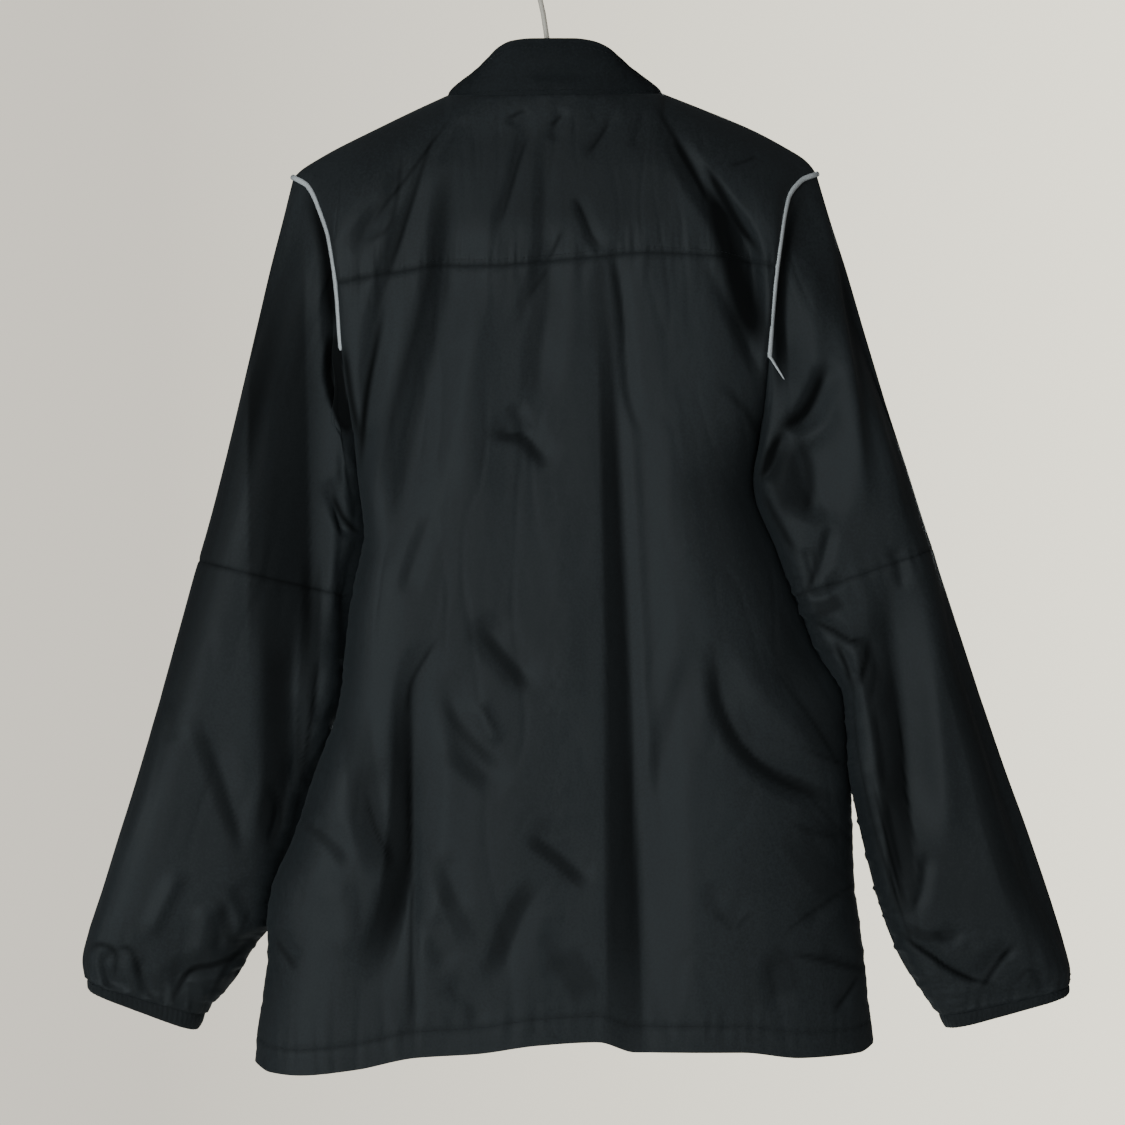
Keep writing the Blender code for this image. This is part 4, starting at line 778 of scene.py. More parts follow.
def front_panel(side, down, columns, seed, strength):
    """One front, zip edge to side seam."""
    share, level = np.meshgrid(column_shares(columns, ZIP_EDGE / SHOULDER_HALF), down)
    points = body_surface(side, share, level, False)
    near_zip = smooth(1 - (share * SHOULDER_HALF - ZIP_EDGE) / 22)
    points[..., 0] = points[..., 0] * (1 - near_zip) + side * share * SHOULDER_HALF * near_zip
    x, z = points[..., 0], points[..., 2]
    top_z = row_levels(side, share, 0 * level, False)[0]
    hem_z = row_levels(side, share, 0 * level + 3, False)[0]
    free = smooth((1 - share) / 0.10) * smooth((top_z - z) / 30)
    free = free * smooth((np.abs(x) - 12) / 26)
    push = free * fold_push(x, z, FRONT_FOLDS) * strength
    push += free * crumple(fan(x, z), z, seed) * 0.8 * strength
    push += seam_pucker(z, np.abs(x) - ZIP_SEAM, seed + 20, 9, 0.7, 13) * smooth((np.abs(x) - 5) / 6)
    push += seam_groove(np.abs(x) - ZIP_SEAM, 1.4, 0.5)
    stitched = z - hem_z - HEM_HEIGHT
    push += (seam_pucker(x, stitched, seed + 28, 12, 1.2, 9) * smooth((np.abs(x) - 8) / 10)
             + seam_groove(stitched, 1.6, 0.9))
    points[..., 1] -= push
    return points


# Sleeves

def armhole_curve(side, turns):
    """The armhole seam at these turns, 0 at the shoulder point, down the back to 0.5, up the front to 1."""
    down = np.where(turns <= 0.5, turns, 1 - turns) * 4
    ring = np.zeros((len(turns), 3))
    for back in (True, False):
        part = (turns <= 0.5) == back
        ring[part] = body_surface(side, np.ones(part.sum()), down[part], back)
    return ring


def section_points(section, share, back):
    """Points of a plain sleeve section, at shares of the way from its outer to its inner edge."""
    ox, oz, ix, iz, depth = section
    n, m = SLEEVE_FULLNESS
    y = depth * np.maximum(1 - np.abs(2 * share - 1) ** n, 0) ** m
    return np.stack([ox + (ix - ox) * share, np.where(back, -y, y), oz + (iz - oz) * share], axis=-1)


def sleeve_rows(side, levels, count):
    """Rings of the sleeve at these levels of its table."""
    turns = np.arange(count) / count
    back = turns <= 0.5
    ring = armhole_curve(side, turns)
    half = np.where(back, turns, 1 - turns) * 2
    under = ring[:, 2].min()
    first = (ring[0, 2] - ring[:, 2]) / (ring[0, 2] - under)
    even = (1 - np.cos(math.pi * half)) / 2
    table = np.array(side_tables(side)[3])
    marks = [[k] + list(row) for k, row in enumerate(table)]
    start = tuple(table[0])
    rows = []
    for level in levels:
        ox, oz, ix, iz, depth = [float(along(marks, level, 0, k)) for k in range(1, 6)]
        if level > 0:
            ix = side * max(side * ix - SLEEVE_LAP, side * float(edge_x(side, iz)) - SLEEVE_LAP)
        share = first + (even - first) * smooth(level / 4)
        stay = 1 - smooth(level / 5)
        points = section_points((ox, oz, ix, iz, depth), share, back)
        points += stay * (ring - section_points(start, first, back))
        points[:, 1] += (SLEEVE_TWIST[side] * (2 * share - 1) - side_y(side, iz)) * (1 - stay)
        rows.append(points)
    return np.array(rows), back


def sleeve_surface(side, levels, count, seed, strength):
    """The sleeve's cloth with its folds, over these levels."""
    points, back = sleeve_rows(side, levels, count)
    level = np.asarray(levels)[:, None]
    normals = grid_normals(points, tube_outward(points), closed=True)
    flat = np.abs(normals[..., 1])
    folds = LEFT_SLEEVE_FOLDS if side < 0 else RIGHT_SLEEVE_FOLDS
    push = fold_push(points[..., 0], points[..., 2], folds)
    fade = smooth(level / 0.5) * smooth((LAST_SECTION - 0.6 - level) / 0.7)
    push = push * np.where(back, 1.0, 0.45) * smooth(flat / 0.4) * fade * strength
    run = np.cumsum(np.linalg.norm(np.diff(points, axis=1, append=points[:, :1]), axis=2), axis=1)
    line = points[:, count // 4]
    length = np.cumsum(np.linalg.norm(np.diff(line, axis=0, prepend=line[:1]), axis=1))[:, None]
    length = length + 400 * (levels[0] > 2)
    push += crumple(run, length + 0 * run, seed) * (0.25 + 0.45 * smooth(flat / 0.5)) * strength * fade
    share = np.abs(2 * np.arange(count) / count - 1)
    inner = share * run.max(axis=1, keepdims=True) / 2
    gathered = seam_pucker(length, inner, seed + 30, 22, 3.2, 10)
    gathered += seam_pucker(length, inner, seed + 42, 15, 2.0, 5)
    push += gathered * smooth(inner / 7) * smooth((level - 5.8) / 1.6) * fade
    elbow = line_distance(points, levels, ELBOW_SECTION)
    push += seam_pucker(run, elbow, seed + 34, 10, 1.0, 9) + seam_groove(elbow, 1.5, 0.6)
    cuff = line_distance(points, levels, CUFF_SECTION)
    push += seam_pucker(run, cuff, seed + 38, 26, 2.4, 9) * smooth(cuff / 3)
    push += seam_groove(cuff, 1.5, 0.9) + 1.1 * smooth((level - CUFF_SECTION) / 0.08)
    return points - normals * (push * smooth(level / 0.12))[..., None]


def line_distance(points, levels, mark):
    """Distance from the ring at this level along each line of the sleeve, in millimetres."""
    steps = np.linalg.norm(np.diff(points, axis=0), axis=2)
    run = np.concatenate([np.zeros((1, points.shape[1])), np.cumsum(steps, axis=0)])
    at = np.clip((mark - levels[0]) / (levels[-1] - levels[0]), 0, 1) * (len(levels) - 1)
    low = int(math.floor(at))
    high = min(low + 1, len(levels) - 1)
    zero = run[low] + (run[high] - run[low]) * (at - low)
    beyond = 0.0 if levels[0] <= mark <= levels[-1] else 400.0
    return np.abs(run - zero) + beyond


# Collar

def neck_curve(turns):
    """The neck seam: turns from -1 at the left front edge over 0 at the centre back to 1."""
    angle = np.abs(turns) * (math.pi - math.asin(ZIP_EDGE / NECK_HALF))
    seam, top = np.zeros((len(turns), 3)), np.zeros((len(turns), 3))
    for side in (-1, 1):
        for back in (True, False):
            part = ((turns < 0) == (side < 0)) & ((angle <= math.pi / 2) == back)
            share = NECK_SHARE * np.sin(angle[part])
            x, y, z = top_point(side, share * JUST_INSIDE, back)
            seam[part] = np.stack([x, -y if back else y, z], axis=-1)
            way = 0.5 * np.sin(angle[part]) if back else 1 - 0.5 * np.sin(angle[part])
            edge = [along(COLLAR_TOP, way, 0, k) for k in (1, 2, 3)]
            if side < 0:
                edge[0] = edge[0] + along(COLLAR_LEAN, way)
            top[part] = np.stack([side * edge[0], edge[1], edge[2]], axis=-1)
    return seam, top


def collar_surface(columns, rows, seed):
    """The collar's outer face. Its first row is tucked behind the neck seam."""
    seam, top = neck_curve(np.linspace(-1, 1, columns))
    up = np.linspace(0, 1, rows)[:, None, None]
    flat = seam * np.array([1, 1, 0])
    flat /= np.linalg.norm(flat, axis=1, keepdims=True)
    points = seam + (top - seam) * up + flat * COLLAR_BULGE * np.sin(math.pi * up)
    run = run_along(seam)[None, :]
    height = np.linalg.norm(points - points[:1], axis=2)
    total = height[-1:]
    push = seam_groove(height, 1.8, 0.9) + seam_groove(total - height - 3.5, 1.1, 0.35)
    push += 0.8 * crumple(run + 0 * height, height * 1.6, seed)
    push += seam_pucker(run + 0 * height, height, seed + 6, 12, 0.8, 13)
    centre = run[0, columns // 2]
    push += 3.2 * np.exp(-((run - centre - 8) / 34) ** 2 - ((height - 17) / 6.5) ** 2)
    push *= smooth(height / 1.5) * smooth((columns / 2 - np.abs(np.arange(columns) - columns / 2 + 0.5)) / 3)
    lower, inward = COLLAR_TUCK
    tucked = seam - (top - seam) * lower - flat * inward
    return np.concatenate([tucked[None], points - flat * push[..., None]])


# Mesh building

def deselect():
    for obj in bpy.context.selected_objects:
        obj.select_set(False)


def link(name, mesh):
    obj = bpy.data.objects.new(name, mesh)
    bpy.context.scene.collection.objects.link(obj)
    return obj


def pick(obj):
    deselect()
    bpy.context.view_layer.objects.active = obj
    obj.select_set(True)


def apply_modifiers(obj):
    pick(obj)
    for modifier in list(obj.modifiers):
        bpy.ops.object.modifier_apply(modifier=modifier.name)


def shade(obj, angle):
    pick(obj)
    bpy.ops.object.shade_smooth_by_angle(angle=math.radians(angle))


def finish_piece(obj, body, slot, *nodes):
    """Gives a piece its body and hides the solids that it stands in for. The slot is not used."""
    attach(obj, body)
    if nodes:
        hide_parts(*nodes)


def cloth_mesh(name, points, thick, material, outward, closed=False, painted_shade=None):
    """A sheet of cloth from a grid of its outer points, its wall to the inside, with a UV map in metres."""
    rows, columns = points.shape[:2]
    last = columns if closed else columns - 1
    i, j = np.meshgrid(np.arange(rows - 1), np.arange(last), indexing="ij")
    k = (j + 1) % columns
    near, far = i * columns, (i + 1) * columns
    faces = np.stack([near + j, near + k, far + k, far + j], axis=-1).reshape(-1, 4)
    flat = points.reshape(-1, 3)
    corner = flat[faces]
    normals = np.cross(corner[:, 2] - corner[:, 0], corner[:, 3] - corner[:, 1])
    if (normals * outward.reshape(-1, 3)[faces[:, 0]]).sum() < 0:
        faces = faces[:, ::-1]
    mesh = bpy.data.meshes.new(name)
    mesh.from_pydata((flat * MM).tolist(), [], faces.tolist())
    across = np.linalg.norm(np.diff(points, axis=1), axis=2).mean(axis=0)
    down = np.linalg.norm(np.diff(points, axis=0), axis=2).mean(axis=1)
    u = np.concatenate([[0], np.cumsum(across)]) * MM
    v = -np.concatenate([[0], np.cumsum(down)]) * MM
    around = np.append(u, u[-1] + across.mean() * MM)
    uv = mesh.uv_layers.new(name="cloth")
    loops = np.empty(len(mesh.loops), np.int64)
    mesh.loops.foreach_get("vertex_index", loops)
    column = loops % columns
    wrap = np.zeros(len(loops), bool)
    if closed:
        quads = column.reshape(-1, 4)
        spread = quads.max(axis=1, keepdims=True) - quads.min(axis=1, keepdims=True)
        wrap = ((spread > 2) & (quads == 0)).reshape(-1)
    spots = np.stack([np.where(wrap, around[-1], around[column]), v[loops // columns]], axis=1)
    uv.data.foreach_set("uv", spots.ravel())
    # Painted shade per point, for the cloth material to darken
    if painted_shade is not None:
        mesh.attributes.new("painted_shade", "FLOAT", "POINT").data.foreach_set("value", painted_shade.ravel())
    mesh.materials.append(material)
    obj = link(name, mesh)
    wall = obj.modifiers.new("wall", "SOLIDIFY")
    wall.thickness = thick * MM
    wall.offset = -1
    apply_modifiers(obj)
    shade(obj, 70)
    return obj


def solid_mesh(name, verts, faces, material, angle):
    """A closed mesh with its faces turned outward, smooth up to this angle in degrees."""
    mesh = bpy.data.meshes.new(name)
    mesh.from_pydata(verts, [], faces)
    mesh.materials.append(material)
    model = bmesh.new()
    model.from_mesh(mesh)
    bmesh.ops.recalc_face_normals(model, faces=model.faces)
    if model.calc_volume(signed=True) < 0:
        bmesh.ops.reverse_faces(model, faces=model.faces)
    model.to_mesh(mesh)
    model.free()
    obj = link(name, mesh)
    shade(obj, angle)
    return obj


def tube_along(name, path, radius, material, normals, sizes, sides=12, squash=0.72):
    """A closed flattened bar along a path, with rounded ends, squashed along its normals."""
    tangents = np.gradient(path, axis=0)
    tangents /= np.linalg.norm(tangents, axis=1, keepdims=True)
    verts, faces = [], []
    size = sizes.copy()
    size[[0, -1]] *= 0.45
    for index, (centre, tangent) in enumerate(zip(path, tangents)):
        lead = normals[index] - tangent * np.dot(normals[index], tangent)
        lead /= np.linalg.norm(lead)
        other = np.cross(tangent, lead)
        for k in range(sides):
            angle = 2 * math.pi * k / sides
            spoke = math.cos(angle) * lead * squash + math.sin(angle) * other
            verts.append(tuple((centre + radius * size[index] * spoke) * MM))
    for i in range(len(path) - 1):
        for k in range(sides):
            a, b = i * sides + k, i * sides + (k + 1) % sides
            faces.append((a, b, b + sides, a + sides))
    faces.append(tuple(range(sides)))
    faces.append(tuple(range((len(path) - 1) * sides, len(path) * sides)))
    return solid_mesh(name, verts, faces, material, 60)


def resample(path, step):
    """Points about one step apart along a path."""
    path = np.array(path, float)
    run = run_along(path)
    at = np.linspace(0, run[-1], max(2, int(run[-1] / step) + 1))
    return np.stack([np.interp(at, run, path[:, k]) for k in range(3)], axis=1)


def stitch_row(name, lines, material, pitch, radius=0.2, lift=0.12):
    """Short thread stitches along lines on the cloth. Each line is its points and its outward directions."""
    verts, faces = [], []
    length = pitch * STITCH_SHARE
    for path, normals in lines:
        run = run_along(path)
        for at in np.arange(pitch / 2, run[-1] - length, pitch):
            ends = [np.array([np.interp(at + d, run, path[:, k]) for k in range(3)]) for d in (0, length)]
            normal = np.array([np.interp(at, run, normals[:, k]) for k in range(3)])
            normal /= np.linalg.norm(normal)
            way = ends[1] - ends[0]
            way /= np.linalg.norm(way)
            side = np.cross(normal, way) * radius
            top = normal * radius
            base = len(verts)
            middle = (ends[0] + ends[1]) / 2 + normal * lift
            verts += [tuple(ends[0] * MM), tuple(ends[1] * MM)]
            for shoulder in (-0.22, 0.22):
                for offset in (side, top, -side, -top):
                    verts.append(tuple((middle + way * length * shoulder + offset) * MM))
            for k in range(4):
                n = (k + 1) % 4
                faces.append((base, base + 2 + n, base + 2 + k))
                faces.append((base + 1, base + 6 + k, base + 6 + n))
                faces.append((base + 2 + k, base + 2 + n, base + 6 + n, base + 6 + k))
    return solid_mesh(name, verts, faces, material, 80)


def refined_copy(node, name, bevel, smooth_levels, material):
    """A merged copy of a hard node with its edges broken, for the finished piece."""
    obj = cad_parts[node].copy()
    obj.data = obj.data.copy()
    obj.name = name
    bpy.context.scene.collection.objects.link(obj)
    for key in [k for k in obj.keys() if k.startswith("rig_")]:
        del obj[key]
    obj.parent = None
    obj.hide_render = False
    pick(obj)
    bpy.ops.object.mode_set(mode="EDIT")
    bpy.ops.mesh.select_all(action="SELECT")
    bpy.ops.mesh.remove_doubles(threshold=1e-5)
    bpy.ops.mesh.dissolve_limited(angle_limit=math.radians(2))
    bpy.ops.mesh.normals_make_consistent(inside=False)
    bpy.ops.object.mode_set(mode="OBJECT")
    edge = obj.modifiers.new("edge", "BEVEL")
    edge.width = bevel * MM
    edge.segments = 3
    edge.limit_method = "ANGLE"
    edge.angle_limit = math.radians(35)
    if smooth_levels:
        finer = obj.modifiers.new("finer", "SUBSURF")
        finer.levels = smooth_levels
        finer.render_levels = smooth_levels
    apply_modifiers(obj)
    shade(obj, 40)
    obj.data.materials.clear()
    obj.data.materials.append(material)
    return obj


# Materials

def new_group(name, inputs, outputs):
    group = bpy.data.node_groups.new(name, "ShaderNodeTree")
    for label, kind, default in inputs:
        socket = group.interface.new_socket(label, in_out="INPUT", socket_type=kind)
        if default is not None:
            socket.default_value = default
    for label, kind in outputs:
        group.interface.new_socket(label, in_out="OUTPUT", socket_type=kind)
    return group, group.nodes.new("NodeGroupInput"), group.nodes.new("NodeGroupOutput")


def node(tree, kind, **settings):
    made = tree.nodes.new(kind)
    for key, value in settings.items():
        setattr(made, key, value)
    return made


def math_node(tree, operation, *values):
    """The result of a calculation whose values are numbers or sockets."""
    made = node(tree, "ShaderNodeMath", operation=operation)
    for index, value in enumerate(values):
        if isinstance(value, (int, float)):
            made.inputs[index].default_value = value
        else:
            tree.links.new(value, made.inputs[index])
    return made.outputs[0]


def noise_texture(tree, vector, scale, **settings):
    """Noise in space, with its scale a number or a socket."""
    texture = node(tree, "ShaderNodeTexNoise", noise_dimensions="3D")
    for name, value in settings.items():
        texture.inputs[name].default_value = value
    tree.links.new(vector, texture.inputs["Vector"])
    if isinstance(scale, float):
        texture.inputs["Scale"].default_value = scale
    else:
        tree.links.new(scale, texture.inputs["Scale"])
    return texture.outputs["Fac"]


def weave_group():
    """Plain weave: height of the crossing threads, from a UV map in metres."""
    group, inside, outside = new_group(
        "plain weave", [("UV", "NodeSocketVector", None), ("Thread pitch", "NodeSocketFloat", 0.0005)],
        [("Height", "NodeSocketFloat")])
    split = node(group, "ShaderNodeSeparateXYZ")
    group.links.new(inside.outputs["UV"], split.inputs[0])
    waves = []
    for axis in (0, 1):
        count = math_node(group, "DIVIDE", split.outputs[axis], inside.outputs["Thread pitch"])
        turn = math_node(group, "MULTIPLY", count, 2 * math.pi)
        waves.append(math_node(group, "SINE", turn))
    product = math_node(group, "MULTIPLY", waves[0], waves[1])
    height = math_node(group, "MULTIPLY_ADD", product, 0.5, 0.5)
    group.links.new(height, outside.inputs["Height"])
    return group


def crinkle_group():
    """Small random creases of thin crisp cloth, and a slow tone with a fine grain."""
    group, inside, outside = new_group(
        "crinkle", [("Vector", "NodeSocketVector", None), ("Scale", "NodeSocketFloat", 60.0)],
        [("Height", "NodeSocketFloat"), ("Tone", "NodeSocketFloat")])
    stretch = node(group, "ShaderNodeMapping")
    stretch.inputs["Scale"].default_value = (1.0, 1.0, 0.62)
    group.links.new(inside.outputs["Vector"], stretch.inputs["Vector"])
    broad = noise_texture(group, stretch.outputs[0], inside.outputs["Scale"], Detail=3.0, Roughness=0.55,
                          Distortion=0.6)
    ridge = math_node(group, "ABSOLUTE", math_node(group, "SUBTRACT", broad, 0.5))
    slope = math_node(group, "MINIMUM", math_node(group, "MULTIPLY", ridge, 9.0), 1.0)
    crease = math_node(group, "SUBTRACT", 1.0, slope)
    height = math_node(group, "ADD", broad, math_node(group, "MULTIPLY", crease, 0.12))
    fine = math_node(group, "MULTIPLY", inside.outputs["Scale"], 9.0)
    grain = noise_texture(group, inside.outputs["Vector"], fine, Detail=2.0)
    height = math_node(group, "ADD", height, math_node(group, "MULTIPLY", grain, 0.16))
    group.links.new(height, outside.inputs["Height"])
    tone = noise_texture(group, inside.outputs["Vector"], 9.0, Detail=4.0)
    speckle = math_node(group, "MULTIPLY", math_node(group, "SUBTRACT", grain, 0.5), 1.3)
    group.links.new(math_node(group, "ADD", tone, speckle), outside.inputs["Tone"])
    return group


def base_material(name, color, rough, metallic=0.0):
    made = bpy.data.materials.new(name)
    made.use_nodes = True
    shader = made.node_tree.nodes["Principled BSDF"]
    shader.inputs["Base Color"].default_value = (*color, 1.0)
    shader.inputs["Roughness"].default_value = rough
    shader.inputs["Metallic"].default_value = metallic
    made.diffuse_color = (*color, 1.0)
    return made, made.node_tree, shader


def add_bump(tree, shader, heights):
    """Chains bumps: pairs of a height socket and its distance in metres."""
    normal = None
    for height, distance in heights:
        bump = node(tree, "ShaderNodeBump")
        bump.inputs["Distance"].default_value = distance
        tree.links.new(height, bump.inputs["Height"])
        if normal is not None:
            tree.links.new(normal, bump.inputs["Normal"])
        normal = bump.outputs["Normal"]
    tree.links.new(normal, shader.inputs["Normal"])


def vary(tree, socket, tone, dark, light):
    """Colour or roughness that wanders between two values with a slow tone."""
    ramp = node(tree, "ShaderNodeValToRGB")
    ramp.color_ramp.elements[0].position = 0.3
    ramp.color_ramp.elements[1].position = 0.7
    ramp.color_ramp.elements[0].color = dark
    ramp.color_ramp.elements[1].color = light
    tree.links.new(tone, ramp.inputs["Fac"])
    tree.links.new(ramp.outputs["Color"], socket)


def mix_painted_shade(tree, socket, painted_shade, value):
    """Mixes a value over what feeds a socket by the painted shade of folds and seams."""
    mix = node(tree, "ShaderNodeMix", data_type="RGBA")
    source = socket.links[0].from_socket
    tree.links.new(painted_shade, mix.inputs[0])
    tree.links.new(source, mix.inputs[6])
    mix.inputs[7].default_value = value
    tree.links.new(mix.outputs[2], socket)


def grey(value):
    return (value, value, value, 1.0)


def shaded(color, share):
    return (*(c * share for c in color), 1.0)


def crinkled(tree, groups, scale):
    """The crinkle group's height and tone, in the object's own space."""
    crinkle = node(tree, "ShaderNodeGroup", node_tree=groups["crinkle"])
    crinkle.inputs["Scale"].default_value = scale
    tree.links.new(node(tree, "ShaderNodeTexCoord").outputs["Object"], crinkle.inputs["Vector"])
    return crinkle.outputs["Height"], crinkle.outputs["Tone"]


def cloth_material(name, color, rough, groups, pitch, weave, crinkle, sheen, scale=60.0, shine=0.28):
    """Woven cloth: thread relief from the UV map, creases and slow tone, and painted shade in folds and
    seams.

    The thread pitch and the heights of the weave and the crinkle are in millimetres.
    """
    made, tree, shader = base_material(name, color, rough)
    threads = node(tree, "ShaderNodeGroup", node_tree=groups["weave"])
    threads.inputs["Thread pitch"].default_value = pitch * MM
    tree.links.new(node(tree, "ShaderNodeTexCoord").outputs["UV"], threads.inputs["UV"])
    dents, tone = crinkled(tree, groups, scale)
    add_bump(tree, shader, [(dents, crinkle * MM), (threads.outputs["Height"], weave * MM)])
    vary(tree, shader.inputs["Base Color"], tone, shaded(color, 0.82), shaded(color, 1.22))
    vary(tree, shader.inputs["Roughness"], tone, grey(rough - 0.05), grey(rough + 0.05))
    # Painted shade: the base colour darkens toward a tenth and the roughness rises to 1
    painted_shade = node(tree, "ShaderNodeAttribute", attribute_name="painted_shade").outputs["Fac"]
    mix_painted_shade(tree, shader.inputs["Base Color"], painted_shade, shaded(color, 0.1))
    mix_painted_shade(tree, shader.inputs["Roughness"], painted_shade, grey(1.0))
    shader.inputs["Specular IOR Level"].default_value = shine
    shader.inputs["Sheen Weight"].default_value = sheen
    shader.inputs["Sheen Roughness"].default_value = 0.45
    shader.inputs["Sheen Tint"].default_value = (0.75, 0.85, 0.9, 1.0)
    return made


def hard_material(name, color, rough, groups, metallic=0.0, grain=0.02, scale=900.0):
    """Metal, paint or moulded plastic, with a fine grain in millimetres and handling marks."""
    made, tree, shader = base_material(name, color, rough, metallic)
    relief, tone = crinkled(tree, groups, scale)
    add_bump(tree, shader, [(relief, grain * MM)])
    vary(tree, shader.inputs["Base Color"], tone, shaded(color, 0.92), shaded(color, 1.0))
    vary(tree, shader.inputs["Roughness"], tone, grey(rough - 0.05), grey(rough + 0.06))
    return made


MATERIALS = {}


def finishes():
    """All materials, made once."""
    if MATERIALS:
        return MATERIALS
    cloth = bpy.context.scene.windbreaker_cloth
    trim = bpy.context.scene.windbreaker_trim
    groups = {"weave": weave_group(), "crinkle": crinkle_group()}
    shell = tuple(cloth.shell_color)
    darker = tuple(c * 0.8 for c in shell)
    MATERIALS.update(
        shell=cloth_material("shell cloth", shell, cloth.shell_roughness, groups, pitch=0.42, weave=0.03,
                             crinkle=0.22, sheen=0.06),
        collar=cloth_material("collar cloth", darker, 0.75, groups, pitch=0.5, weave=0.05, crinkle=0.35,
                              sheen=0.02, shine=0.15),
        cuff=cloth_material("cuff binding", darker, 0.75, groups, pitch=0.9, weave=0.16, crinkle=0.3,
                            sheen=0.1),
        piping=cloth_material("piping satin", tuple(trim.piping_color), 0.42, groups, pitch=0.35, weave=0.03,
                              crinkle=0.12, sheen=0.1, scale=200.0),
        tape=cloth_material("zip tape", (0.009, 0.010, 0.011), 0.8, groups, pitch=0.8, weave=0.12,
                            crinkle=0.1, sheen=0.1, scale=200.0),
        teeth=hard_material("zip teeth", (0.02, 0.021, 0.022), 0.35, groups, grain=0.01),
        thread=hard_material("thread", (0.014, 0.016, 0.018), 0.5, groups, scale=3000.0),
        metal=hard_material("slider metal", (0.35, 0.36, 0.37), 0.32, groups, metallic=1.0, grain=0.012),
        plastic=hard_material("hanger plastic", (0.78, 0.78, 0.76), 0.42, groups, grain=0.03),
        hook=hard_material("hook paint", (0.90, 0.80, 0.68), 0.45, groups),
    )
    return MATERIALS


# Settings

class WindbreakerCloth(PropertyGroup):
    shell_color: FloatVectorProperty(name="Shell colour", description="Colour of the shell cloth", size=3,
                                     subtype="COLOR", default=(0.0215, 0.0245, 0.0268), min=0.0, max=1.0)
    shell_roughness: FloatProperty(name="Shell roughness", description="How dull the shell cloth is",
                                   subtype="FACTOR", default=0.6, min=0.1, max=1.0)
    fold_strength: FloatProperty(name="Fold strength", description="Depth of the folds and creases",
                                 subtype="FACTOR", default=1.0, min=0.0, max=1.5)
    wall: FloatProperty(name="Cloth wall", description="Thickness of the shell cloth", unit="LENGTH",
                        precision=5, default=0.5 * MM, min=0.1 * MM, max=1.2 * MM)


class WindbreakerTrim(PropertyGroup):
    piping_radius: FloatProperty(name="Piping radius", description="Half width of the piping", unit="LENGTH",
                                 precision=5, default=2.1 * MM, min=0.8 * MM, max=3.0 * MM)
    piping_color: FloatVectorProperty(name="Piping colour", description="Colour of the piping", size=3,
                                      subtype="COLOR", default=(0.62, 0.63, 0.64), min=0.0, max=1.0)
    stitch_pitch: FloatProperty(name="Stitch pitch", description="From stitch to stitch", unit="LENGTH",
                                precision=5, default=3.3 * MM, min=1.5 * MM, max=6.0 * MM)
    tooth_pitch: FloatProperty(name="Tooth pitch", description="From tooth to tooth in one row",
                               unit="LENGTH", precision=5, default=1.6 * MM, min=1.0 * MM, max=4.0 * MM)


def shell_piece(node, points, outward, closed=False, painted_shade=None):
    """A piece of shell cloth in place of its solid."""
    wall = bpy.context.scene.windbreaker_cloth.wall / MM
    piece = cloth_mesh(node + "_cloth", points, wall, finishes()["shell"], outward, closed, painted_shade)
    finish_piece(piece, "jacket", "shell", node)


def spaced(*spans):
    """Row places: each span is its start, end, count and how much closer its first rows lie."""
    rows = []
    for start, end, count, power in spans:
        rows += list(start + (end - start) * np.linspace(0, 1, count, endpoint=False) ** power)
    return np.array(rows + [spans[-1][1]])


YOKE_DOWN = spaced((0, 1, 90, 1.5))
BODY_DOWN = spaced((1, 2, 40, 1.0), (2, 3, 156, 1.0))
FRONT_DOWN = spaced((0, 1, 34, 1.5), (1, 2, 28, 1.0), (2, 3, 108, 1.0))


class WINDBREAKER_OT_back(Operator):
    """Back yoke and back body, sewn along the puckered yoke seam"""
    bl_idname = "windbreaker.back"
    bl_label = "Back"

    def execute(self, context):
        strength = context.scene.windbreaker_cloth.fold_strength
        stitched = [(x, z + HEM_HEIGHT) for x, z in HEM]
        for node, down, columns in (("back_yoke", YOKE_DOWN, YOKE_COLUMNS),
                                    ("back_body", BODY_DOWN, BACK_COLUMNS)):
            points = back_panel(down, columns, BACK_SEED, strength)
            # Painted shade of the folds, the yoke seam and the hem stitching
            painted_shade = painted_fold_shade(points, BACK_FOLDS, BACK_PAINTED_SHADE, (YOKE, stitched))
            shell_piece(node, points, panel_outward(points, True), painted_shade=painted_shade)
        return {"FINISHED"}


class WINDBREAKER_OT_fronts(Operator):
    """Left and right front, from the shoulder ridge to the hem"""
    bl_idname = "windbreaker.fronts"
    bl_label = "Fronts"

    def execute(self, context):
        strength = context.scene.windbreaker_cloth.fold_strength
        for side, node in ((-1, "front_left"), (1, "front_right")):
            points = front_panel(side, FRONT_DOWN, FRONT_COLUMNS, FRONT_SEED + side, strength)
            shell_piece(node, points, panel_outward(points, False))
        return {"FINISHED"}


class WINDBREAKER_OT_sleeves(Operator):
    """Both sleeves, above and below the elbow seam"""
    bl_idname = "windbreaker.sleeves"
    bl_label = "Sleeves"

    def execute(self, context):
        strength = context.scene.windbreaker_cloth.fold_strength
        for side, word, folds, painted_shades in ((-1, "left", LEFT_SLEEVE_FOLDS, LEFT_SLEEVE_PAINTED_SHADE),
                                           (1, "right", RIGHT_SLEEVE_FOLDS, RIGHT_SLEEVE_PAINTED_SHADE)):
            outer_x, outer_z, inner_x, inner_z, _ = side_tables(side)[3][ELBOW_SECTION]
            elbow = sorted([(outer_x, outer_z), (inner_x, inner_z)])
            parts = (("upper", 0, ELBOW_SECTION, SLEEVE_UPPER_ROWS),
                     ("lower", ELBOW_SECTION, CUFF_SECTION + SLEEVE_UNDER_CUFF, SLEEVE_LOWER_ROWS))
            for part, start, end, rows in parts:
                points = sleeve_surface(side, np.linspace(start, end, rows), SLEEVE_TURNS, SLEEVE_SEED + side,
                                        strength)
                # With painted shade of the folds and the elbow seam
                shell_piece("sleeve_" + word + "_" + part, points, tube_outward(points), True,
                            painted_fold_shade(points, folds, painted_shades, [elbow]))
        return {"FINISHED"}


